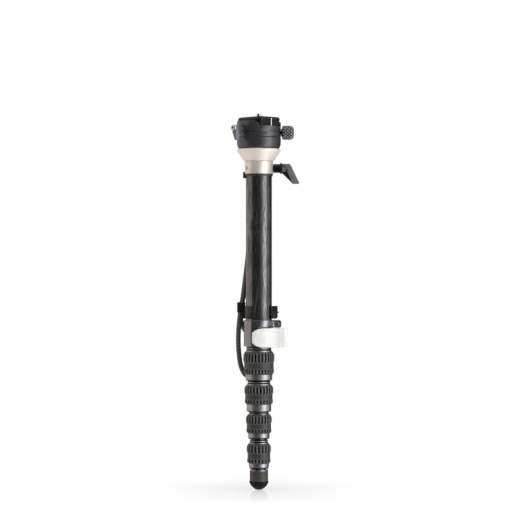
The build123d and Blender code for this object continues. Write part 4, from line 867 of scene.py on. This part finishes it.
DOME_RADIUS, DOME_HEIGHT = 12.9, 10.2
FLAT_RADIUS, SHOULDER, STEM = 3.0, (9.4, 4.2), (7.0, 16.4)  # radii, with heights above the ground
dome_side = arc_through((FLAT_RADIUS, 0.0), SHOULDER, (DOME_RADIUS, DOME_HEIGHT), 32)
dome_rim = cup_low - 0.02
dome_top = rounded([(DOME_RADIUS, DOME_HEIGHT), (DOME_RADIUS, dome_rim), (STEM[0], dome_rim), STEM,
                    (0, STEM[1])], [0, 0.5, 0, 0.4, 0])
dome = np.vstack([[(0, 0)], dome_side, dome_top])
place("foot_dome", skin("foot_dome", turned(dome)), "foot_pad")
print("foot's flat:", 2 * dome_side[0][0], "mm across")

# %% [markdown]
# ## The flip lever
#
# The white lever is a curved casting that hugs the leg. Sculpting could give its soft forms, but not their
# size. Its cover is a sheet over the CAD lever's outer face. The sheet's first parameter runs along the
# plan, the line that the lever makes when it is seen from above: a short turned-in tip, an arc round the
# leg and a straight run to the hub.

# %% Lever's plan
LEVER_FACE = 24.05              # mm, radius of the outer face round the leg
LEVER_ARC = (-19.5, 29.5)       # degrees from the front
LEVER_TIP = (-19.6, -22.4)      # mm, from the leg's middle to where the turned-in tip starts and ends
HUB_SIDE, HUB_FRONT, COVER_END = 23.5, -15.35, 33.5
COVER_LIFT = 0.12               # mm that the cover stands outside the CAD lever
PLAN_STEP = 0.3
lever_low, lever_high = span("flip_lever")
lever_tip = span("flip_lever", 0)[0] - COVER_LIFT
bearings = np.radians(np.linspace(*LEVER_ARC, 30))
round_leg = LEVER_FACE * np.c_[np.sin(bearings), -np.cos(bearings)]
corners = np.vstack([[(lever_tip, depth) for depth in LEVER_TIP], round_leg,
                     [(HUB_SIDE, HUB_FRONT), (COVER_END, HUB_FRONT)]])
plan, run = even_steps(rounded(corners, [0, 1.6] + [0.4] * len(round_leg) + [4.0, 0], steps=10), PLAN_STEP)
forward = np.gradient(plan, axis=0)
forward /= np.linalg.norm(forward, axis=1)[:, None]
outward = np.c_[forward[:, 1], -forward[:, 0]]
print("lever's plan:", round(run[-1], 1), "mm long")

# %% [markdown]
# The second parameter runs across the lever. In the middle lies a sunk panel with a waist, and two raised
# lips follow its edges. A displacement picture could raise them, but a height worked out from the waist's
# own line keeps the panel's edge crisp, and the lips can fade where the lever turns on its hub.

# %% Panel and lips
WAIST = ((-6, 3.0), (-2, 6.2), (3, 8.2), (12, 8.6), (20, 7.2), (29, 5.6), (38.6, 5.4))   # x, half height
PANEL_RISE, LIP_RISE, LIP_SLOPE, LIP_FADE = 0.15, 0.6, 1.4, 5       # mm
EDGE_ROUND, EDGE_DROP, COVER_DEPTH = 1.0, 0.9, 1.6                  # mm
TAPER_START, TAPER_LONG = 7, 19         # x where the lever starts to narrow, and over what length
TIP_LONG, TIP_ROUND = 3.2, 2.2          # the corners at the tip are rounded over this length
LIP_START, LIP_STOP = 2.5, 0.5          # mm from the tip, and before the cover's end
print("the panel is", 2 * max(half for place_along, half in WAIST), "mm tall at its widest")

# %% [markdown]
# Both parameters together give the sheet: a place along the plan, a height across it, and a distance by
# which it stands out. A flat sheet could be given a wall by a Solidify modifier, but its edge would show
# as a step on the lever. So its last rows are folded back into the lever, and the sheet closes itself.

# %% Lever cover
def lever_skin(rows=64):
    """Sheet p = plan + normal*stand_off, z = middle + H(x)*v, with v from -1 to 1 across the lever.

    H follows an ellipse at the tapering end: H = half * sqrt(1 - ((start - x) / length)^2) for x < start.
    stand_off is the panel's small one, plus the lip where |z| passes the waist, less the edge's rounding.
    The lip fades out at the tip and towards the hub, which the lever turns on.
    """
    x = plan[:, 0]
    half = (lever_high - lever_low) / 2 + COVER_LIFT
    reach = half * np.sqrt(1 - np.clip((TAPER_START - x) / TAPER_LONG, 0, 1) ** 2)
    start = np.clip(1 - (run / TIP_LONG), 0, 1)
    reach = reach - TIP_ROUND * (1 - np.sqrt(1 - start**2))
    v = np.sin(np.linspace(-np.pi / 2, np.pi / 2, rows))
    across = np.abs(v)[None, :] * reach[:, None]
    waist = np.interp(x, *np.array(WAIST).T)[:, None]
    lip = np.clip((across - waist) / LIP_SLOPE, 0, 1) * np.clip((run[:, None] - LIP_START) / LIP_FADE, 0, 1)
    lip = lip * np.clip((COVER_END - LIP_STOP - x) / LIP_FADE, 0, 1)[:, None]
    stand_off = PANEL_RISE + LIP_RISE * lip * lip * (3 - 2 * lip)
    rim = np.clip((across - reach[:, None] + EDGE_ROUND) / EDGE_ROUND, 0, 1)
    stand_off = stand_off - EDGE_DROP * (1 - np.sqrt(1 - rim**2))
    place_xy = plan[:, None] + outward[:, None] * stand_off[:, :, None]
    z = (lever_low + lever_high) / 2 + reach[:, None] * v[None, :]
    front = np.dstack([place_xy, z])
    back = front.copy()
    back[:, :, :2] = plan[:, None] - outward[:, None] * COVER_DEPTH
    return np.hstack([front[:, ::-1], back[:, [0]], back[:, [-1]]])


cover = lever_skin()
place("lever_cover", skin("lever_cover", cover, close_columns=True, sharp=55), "flip_lever", replace=False)
print("lever cover:", cover.shape[0] * cover.shape[1], "points")

# %% [markdown]
# ## The pan lock's knob
#
# The knob is turned with a slightly barrelled side and a domed end, on a short neck and a screw. It lies on
# its side, so its profile is carried round a level axis. A turned piece could be made upright and tipped
# over, but every object here has to sit unturned at the origin, so the axis is given to the lathe instead.

# %% Pan knob
knob_low, knob_high = span("pan_knob")
knob_axis, knob_radius = (knob_low + knob_high) / 2, (knob_high - knob_low) / 2
knob_end = span("pan_knob", 0)[1]
KNOB_START, NECK, SCREW = 31.2, (29.7, 5.2), (14.3, 2.5)       # places along X, with radii
KNURLS, KNURL_COLUMNS, KNOB_STEP = 12, 16, 0.25
side = rounded([(NECK[1], KNOB_START), (knob_radius - 1.0, KNOB_START), (knob_radius, KNOB_START + 2.0),
                (knob_radius, knob_end - 3.4), (knob_radius - 3.0, knob_end), (0, knob_end)],
               [0, 0.6, 1.5, 2.2, 2.2, 0], steps=8)
side, _ = even_steps(side, KNOB_STEP)
shank = [(0, SCREW[0]), (SCREW[1], SCREW[0]), (SCREW[1], NECK[0]), (NECK[1], NECK[0])]
knob = turned(np.vstack([shank, side]), (0, 0, knob_axis), (1, 0, 0), sides=KNURLS * KNURL_COLUMNS)
print("knob:", round(knob_radius, 1), "mm in radius,", round(knob_end - KNOB_START, 1), "mm long")

# %% [markdown]
# The knurling is rolled in by two crossing cuts. Each cut is a wave round the knob that also runs along
# it, and what both leave is a field of small diamonds. A bump would do from afar, but in the photograph the
# diamonds notch the knob's outline, so the points themselves are drawn in towards the axis.

# %% Knurling
KNURL_PITCH, KNURL_DEPTH = 5.4, 1.1
KNURL_FLAT = 1.6                # cuts off the diamonds' points
GRIPPED, GRIP_FADE, START_FADE = 4.5, 2.5, 0.8      # mm, where the end's middle and the neck stay smooth
# knurl = |sin(n*a/2 + pi*x/pitch)| * |sin(n*a/2 - pi*x/pitch)| * flat, but at most 1.
angle = np.linspace(0, 2 * np.pi, knob.shape[1], endpoint=False)
ways = [np.abs(np.sin(angle * KNURLS / 2 + turn * np.pi * knob[:, :, 0] / KNURL_PITCH)) for turn in (1, -1)]
knurl = np.minimum(ways[0] * ways[1] * KNURL_FLAT, 1)
rim = np.hypot(knob[:, :, 1], knob[:, :, 2] - knob_axis)
held = np.clip((rim - knob_radius + GRIPPED) / GRIP_FADE, 0, 1)
held = held * np.clip((knob[:, :, 0] - KNOB_START) / START_FADE, 0, 1)
sunk = 1 - KNURL_DEPTH * (1 - knurl) * held / np.maximum(rim, 1)
knob[:, :, 1] *= sunk
knob[:, :, 2] = knob_axis + (knob[:, :, 2] - knob_axis) * sunk
# The knurl's height paints shade into its cuts and a highlight onto its points.
place("knurled_knob", skin("knurled_knob", knob, values=knurl * held, sharp=60), "pan_knob", look="knurled")
print("knob:", KNURLS, "knurls,", KNURL_DEPTH, "mm deep")

# %% [markdown]
# ## The platform lock's paddle
#
# The platform's lock has a cast paddle: a broad rib that leans outwards, a thinner web under it and a hub
# on the stem. It could be one cast block, but light reaches only the rib, and the web stays dark. So it is
# made of two slabs and a turned hub, and the web's black finish is painted shade: it is of one casting with
# the rib, and dark only because it lies in shadow.

# %% Platform lock paddle
HUB_RADIUS, RIB_INSET, WEB_HALF = 5.7, 3.2, 3.6
paddle_start, paddle_end = span("platform_lock_lever", 0)
paddle_low, paddle_high = span("platform_lock_lever")
paddle_half = span("platform_lock_lever", 1)[1]
paddle_axis = sum(span("platform_lock_stem")) / 2
PADDLE_WIDE, PADDLE_LEAN = 10.77, 27        # mm, and degrees from upright
RIB_EDGE, WEB_EDGE, HUB_HEIGHT = 0.8, 0.6, 5.0
tip_start = paddle_start + math.tan(math.radians(PADDLE_LEAN)) * (paddle_high - paddle_low)
# Corners of rib and web as (x, z), from the paddle's start and tip and from the stem's axis, in mm.
rib = rounded([(tip_start + 5, paddle_low), (tip_start + PADDLE_WIDE - 0.9, paddle_low),
               (paddle_start + PADDLE_WIDE, paddle_high), (paddle_start, paddle_high),
               (paddle_start + RIB_INSET, paddle_axis + 3.4), (tip_start, paddle_low),
               (tip_start + 5, paddle_low)], [0, 2.0, 2.5, 0.6, 1.0, 1.6, 0])[:-1]
web = rounded([(paddle_start + 1, paddle_axis), (paddle_start + 4.5, paddle_axis + 3.4),
               (tip_start + 3, paddle_low + 2), (tip_start - 0.4, paddle_low + 1.2),
               (paddle_start, paddle_axis - 6.4), (paddle_start + 1, paddle_axis)],
              [0, 0.5, 0.5, 0.8, 0.8, 0])[:-1]
rib_slab = slab(rib, -paddle_half, paddle_half, RIB_EDGE, "y")
place("paddle_rib", skin("paddle_rib", rib_slab), "platform_lock_lever")
web_slab = slab(web, -WEB_HALF, WEB_HALF, WEB_EDGE, "y")
# The web's black nylon is painted shade: it stands for the rib's own grey casting in shadow.
place("paddle_web", skin("paddle_web", web_slab), "platform_lock_lever", look="black_plastic", replace=False)
hub = rounded([(0, 0), (HUB_RADIUS, 0), (HUB_RADIUS, HUB_HEIGHT), (0, HUB_HEIGHT)], [0, 0.5, 0.5, 0])
place("paddle_hub", skin("paddle_hub", turned(hub, (paddle_start, 0, paddle_axis), (1, 0, 0))),
      "platform_lock_lever", replace=False)
print("paddle's tip at", round(paddle_end, 1), "mm")

# %% [markdown]
# ## The pinch screw
#
# The pinch screw is a socket screw: a rounded head with a six-sided recess. A cut with a six-sided prism
# would do. Here the recess is turned round first, and then its rings are drawn in to a hexagon, whose
# radius at the angle a from a corner is corner * cos 30 / cos(a - 30), in degrees.

# %% Pinch screw
SOCKET, SOCKET_DEPTH, SCREW_SIDES = 2.2, 2.6, 96
screw_left, screw_right = span("pinch_screw", 0)
screw_x, screw_radius = (screw_left + screw_right) / 2, (screw_right - screw_left) / 2
screw_axis = sum(span("pinch_screw")) / 2
screw_front, screw_back = span("pinch_screw", 1)
screw_long = screw_back - screw_front
head = rounded([(0, 0), (screw_radius, 0), (screw_radius, screw_long), (SOCKET, screw_long)],
               [0, 0.3, 0.7, 0])
floor_height = screw_long - SOCKET_DEPTH
profile = np.vstack([head, [(SOCKET, floor_height), (0, floor_height)]])
screw = turned(profile, (screw_x, screw_back, screw_axis), (0, -1, 0), sides=SCREW_SIDES)
sixth = np.mod(np.linspace(0, 2 * np.pi, SCREW_SIDES, endpoint=False), np.pi / 3) - np.pi / 6
flats = math.cos(math.pi / 6) / np.cos(sixth)
recess = slice(-3, -1)          # the rings at the socket's mouth and floor
screw[recess, :, 0] = screw_x + (screw[recess, :, 0] - screw_x) * flats
screw[recess, :, 2] = screw_axis + (screw[recess, :, 2] - screw_axis) * flats
place("socket_screw", skin("socket_screw", screw), "pinch_screw")
print("socket", 2 * SOCKET, "mm across its corners")

# %% [markdown]
# ## Machined pieces
#
# The castings and milled pieces keep their exact CAD shape, but real ones have broken edges that catch
# the light. Drawing them again would lose that exactness. A copy of the CAD mesh, merged and with its flat
# faces joined, takes a narrow Bevel modifier, which rounds only the sharp edges.

# %% Softened copies of CAD pieces
FLAT_WITHIN = 1                 # degrees between faces that count as one
SHARP_FROM = 35                 # degrees from which an edge is rounded


def softened(node, width, look=None):
    """A merged copy of a CAD piece whose sharp edges are rounded by a bevel, width in mm."""
    mesh = nodes[node].data.copy()
    mesh.materials.clear()
    work = bmesh.new()
    work.from_mesh(mesh)
    bmesh.ops.remove_doubles(work, verts=work.verts, dist=1e-6)
    bmesh.ops.dissolve_limit(work, angle_limit=math.radians(FLAT_WITHIN), verts=work.verts, edges=work.edges)
    work.to_mesh(mesh)
    work.free()
    mesh.name = f"{node}_soft"
    if mesh.has_custom_normals:
        mesh.normals_split_custom_set(np.zeros((len(mesh.loops), 3)).tolist())
    mesh.shade_smooth()
    bevel = place(f"{node}_soft", mesh, node, look=look).modifiers.new("edges", "BEVEL")
    bevel.width, bevel.segments, bevel.limit_method = width * MM, 2, "ANGLE"
    bevel.angle_limit = math.radians(SHARP_FROM)
    bevel.harden_normals = True


SOFTENED = {"flip_lock_body": 0.45, "flip_lever": 0.4, "top_collar": 0.3, "pan_body": 0.4, "clamp_jaw": 0.4,
            "lens_plate": 0.3, "clamp_lever": 0.5, "platform_lock_stem": 0.4,
            "strap_keeper": 0.4, "strap_lug": 0.6, "flip_lock_nut": 0.3}
LOOKS = {"flip_lock_body": "casting_black", "lens_plate": "hard_black", "platform_lock_stem": "hard_black"}
for node, width in SOFTENED.items():
    softened(node, width, LOOKS.get(node))
print("softened:", len(SOFTENED), "pieces")

# %% [markdown]
# ## Pieces that stay
#
# The CAD pieces that nothing replaces are mostly hidden ones, such as collets, bushes and screws. They
# could stay grey, but a lock that is opened shows them. Each gets the finish of its slot.

# %% Dress the CAD pieces that stay
replaced = {name for piece in bpy.data.objects for name in piece.get("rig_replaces", [])}
kept = [node for node in nodes if node not in replaced]
for node in kept:
    nodes[node].data.materials.clear()
    nodes[node].data.materials.append(materials[slot_of[node]])
print("CAD pieces shown as they are:", len(kept))

# %% [markdown]
# ## Floor
#
# The photograph is a studio shot on white, and the foot stands on a glossy white sheet: a faint mirror
# image and a small soft shadow are all that shows. A lit floor would turn grey with distance. So the floor
# glows white where it is seen away from the foot, and is a real glossy surface near the foot. Seen from
# below it is clear, because drawn-out sections reach below it. One large square is all the shape it needs.

# %% Floor
FLOOR_HALF = 6.0                # metres
corners = [(-FLOOR_HALF, -FLOOR_HALF, 0), (FLOOR_HALF, -FLOOR_HALF, 0), (FLOOR_HALF, FLOOR_HALF, 0),
           (-FLOOR_HALF, FLOOR_HALF, 0)]
floor_mesh = bpy.data.meshes.new("floor")
floor_mesh.from_pydata(corners, [], [(0, 1, 2, 3)])
floor = bpy.data.objects.new("floor", floor_mesh)
bpy.context.scene.collection.objects.link(floor)
print("floor", 2 * FLOOR_HALF, "m wide")

# %% [markdown]
# The sheet's finish is mixed by the kind of ray that meets it and by the place. Camera rays see the real
# surface near the foot and plain glowing white farther out, mirror rays see white, and the side that faces
# down is transparent. A picture editor could whiten each render instead, but this way every view has it.

# %% Floor finish
# White studio sheet: glossy, so that the foot has a mirror image in it.
SHADOW_NEAR, SHADOW_FAR = 0.02, 0.14            # metres from the leg
SHADOW_WHITE = 0.55                             # share of white at the foot
tree, shader = finish("floor", "white_studio_floor", Base_Color=colour("#f4f4f4"), Roughness=0.06)
rays = add(tree, "ShaderNodeLightPath").outputs
mirrored = add(tree, "ShaderNodeMath", {0: rays["Is Glossy Ray"], 1: rays["Is Transmission Ray"]},
               operation="ADD")
spot = add(tree, "ShaderNodeTexCoord").outputs["Object"]
away = add(tree, "ShaderNodeVectorMath", {0: spot}, operation="LENGTH").outputs["Value"]
share = add(tree, "ShaderNodeMapRange", {"Value": away, "From Min": SHADOW_NEAR, "From Max": SHADOW_FAR,
                                         "To Min": SHADOW_WHITE, "To Max": 1.0})
seen = add(tree, "ShaderNodeMath", {0: rays["Is Camera Ray"], 1: share.outputs["Result"]},
           operation="MULTIPLY")
mixed = add(tree, "ShaderNodeMath", {0: seen.outputs[0], 1: mirrored.outputs[0]}, operation="ADD",
            use_clamp=True)
white = add(tree, "ShaderNodeEmission", {"Color": (1, 1, 1, 1), "Strength": 1.0}).outputs[0]
blend = add(tree, "ShaderNodeMixShader", {0: mixed.outputs[0], 1: shader.outputs[0], 2: white}).outputs[0]
clear = add(tree, "ShaderNodeBsdfTransparent").outputs[0]
below = add(tree, "ShaderNodeNewGeometry").outputs["Backfacing"]
blend = add(tree, "ShaderNodeMixShader", {0: below, 1: blend, 2: clear}).outputs[0]
tree.links.new(blend, tree.nodes["Material Output"].inputs["Surface"])
floor_mesh.materials.append(materials["floor"])
print("floor is all white from", SHADOW_FAR, "m on")

# %% [markdown]
# ## Studio light
#
# The backdrop is pure white, but a white studio would light the leg from all sides and leave it flat. A
# backdrop sheet could be lit apart. It is simpler to let the world look at which kind of ray comes in:
# rays from the camera and mirror rays find white, and the rays that light a surface find much less.

# %% World
AMBIENT = 0.45
world = bpy.data.worlds.new("studio")
bpy.context.scene.world = world
world.use_nodes = True
tree = world.node_tree
rays = add(tree, "ShaderNodeLightPath").outputs
seen = add(tree, "ShaderNodeMath", {0: rays["Is Camera Ray"], 1: rays["Is Glossy Ray"]}, operation="ADD")
seen = add(tree, "ShaderNodeMath", {0: seen.outputs[0], 1: rays["Is Transmission Ray"]}, operation="ADD",
           use_clamp=True)
level = add(tree, "ShaderNodeMapRange", {"Value": seen.outputs[0], "To Min": AMBIENT, "To Max": 1.0})
background = tree.nodes["Background"]
background.inputs["Color"].default_value = (1, 1, 1, 1)
tree.links.new(level.outputs["Result"], background.inputs["Strength"])
print("world seen as white, lighting at", AMBIENT)

# %% [markdown]
# A tall soft light stands at the right and a weaker warm one at the left. Spot lamps would give hard
# shadows, so both are area lamps, taller than the leg. They are left out of mirror rays, because their
# hard rectangles would show on round metal.

# %% Lamps
def lamp(name, bearing, distance, height, size, power, tint="#ffffff"):
    """An upright soft light at a bearing from the camera's side towards +X, facing the leg.

    Shiny pieces don't mirror it: they mirror the ring of cards below, which has the same lights in it.
    """
    data = bpy.data.lights.new(name, "AREA")
    data.shape, data.size, data.size_y, data.energy = "RECTANGLE", size[0], size[1], power
    data.color = colour(tint)[:3]
    made = bpy.data.objects.new(name, data)
    bpy.context.scene.collection.objects.link(made)
    turn = math.radians(bearing)
    made.location = (distance * math.sin(turn), -distance * math.cos(turn), height)
    made.rotation_euler = (math.radians(90), 0, turn)
    made.visible_glossy = False
    print(name, "at", bearing, "degrees,", power, "W")


lamp("strip_right", 55, 1.7, 0.55, (0.5, 1.5), 21)
lamp("fill_left", -75, 1.9, 0.55, (0.8, 1.5), 14, "#fff0e6")

# %% [markdown]
# What shiny pieces mirror is one tall ring round the set. Its bands show on round metal as upright lights,
# with a dark band between them where the unlit room behind the camera is mirrored. Cards could be single
# glowing planes, but their edges would be hard and they would mirror each other. The ring's glow at each
# bearing is a sum of cards, each level inside its width and falling off softly.

# %% Glow of the studio cards
# Each card: bearing, half width and soft edge in degrees, strength and tint. The last is the room's glow.
# glow = sum of strength * tint * s*s*(3 - 2*s), where s falls from 1 to 0 across a card's soft edge.
CARDS = ((55, 6, 20, 2.4, "#ffffff"), (62, 38, 14, 0.5, "#ffffff"), (-108, 38, 14, 0.85, "#f1e5dc"),
         (180, 12, 6, 0.8, "#ffffff"), (-180, 12, 6, 0.8, "#ffffff"), (0, 180, 1, 0.06, "#ffffff"))
bearing = np.arange(-180, 180, 2)
glow = np.zeros((len(bearing), 4))
for middle, half, soft, strength, tint in CARDS:
    fall = np.clip((half + soft - np.abs(bearing - middle)) / soft, 0, 1)
    glow += strength * (fall * fall * (3 - 2 * fall))[:, None] * np.array(colour(tint))
print("brightest card:", round(float(glow.max()), 2))

# %% [markdown]
# The cards are painted on one wide bowl: nearly flat under the set, and then a wall that leans outwards
# and is taller than the leg. A dome over everything would do too, but its top would show as a glare on the
# head. The bowl carries the glow at its points, and only mirror rays find it, from inside.

# %% Ring of studio cards
RING_PROFILE = ((0.03, 0.002), (0.5, 0.004), (3.0, 0.2), (3.4, 3.5))       # radius and height in metres
round_set = np.c_[np.sin(np.radians(bearing)), -np.cos(np.radians(bearing))] / MM
ring_points = np.stack([np.c_[radius * round_set, np.full(len(bearing), height / MM)]
                        for radius, height in RING_PROFILE])
ring = bpy.data.objects.new("studio_cards", skin("studio_cards", ring_points[:, ::-1]))
glow_rows = np.tile(glow[::-1], (len(RING_PROFILE), 1))
ring.data.attributes.new("glow", "FLOAT_COLOR", "POINT").data.foreach_set("color", glow_rows.ravel())
bpy.context.scene.collection.objects.link(ring)
# Cards: nothing but their own glow, and only their inner side is there at all.
tree, shader = finish("cards", "studio_cards", Base_Color=colour("#000000"), Roughness=1.0,
                      Emission_Strength=1.0)
glow_colour = add(tree, "ShaderNodeAttribute", attribute_name="glow").outputs["Color"]
tree.links.new(glow_colour, shader.inputs["Emission Color"])
behind = add(tree, "ShaderNodeNewGeometry").outputs["Backfacing"]
add(tree, "ShaderNodeMath", {0: 1.0, 1: behind}, [shader.inputs["Alpha"]], operation="SUBTRACT")
ring.data.materials.append(materials["cards"])
ring.visible_camera = ring.visible_diffuse = ring.visible_shadow = ring.visible_transmission = False
print("ring", 2 * RING_PROFILE[-1][0], "m wide and", RING_PROFILE[-1][1], "m tall")
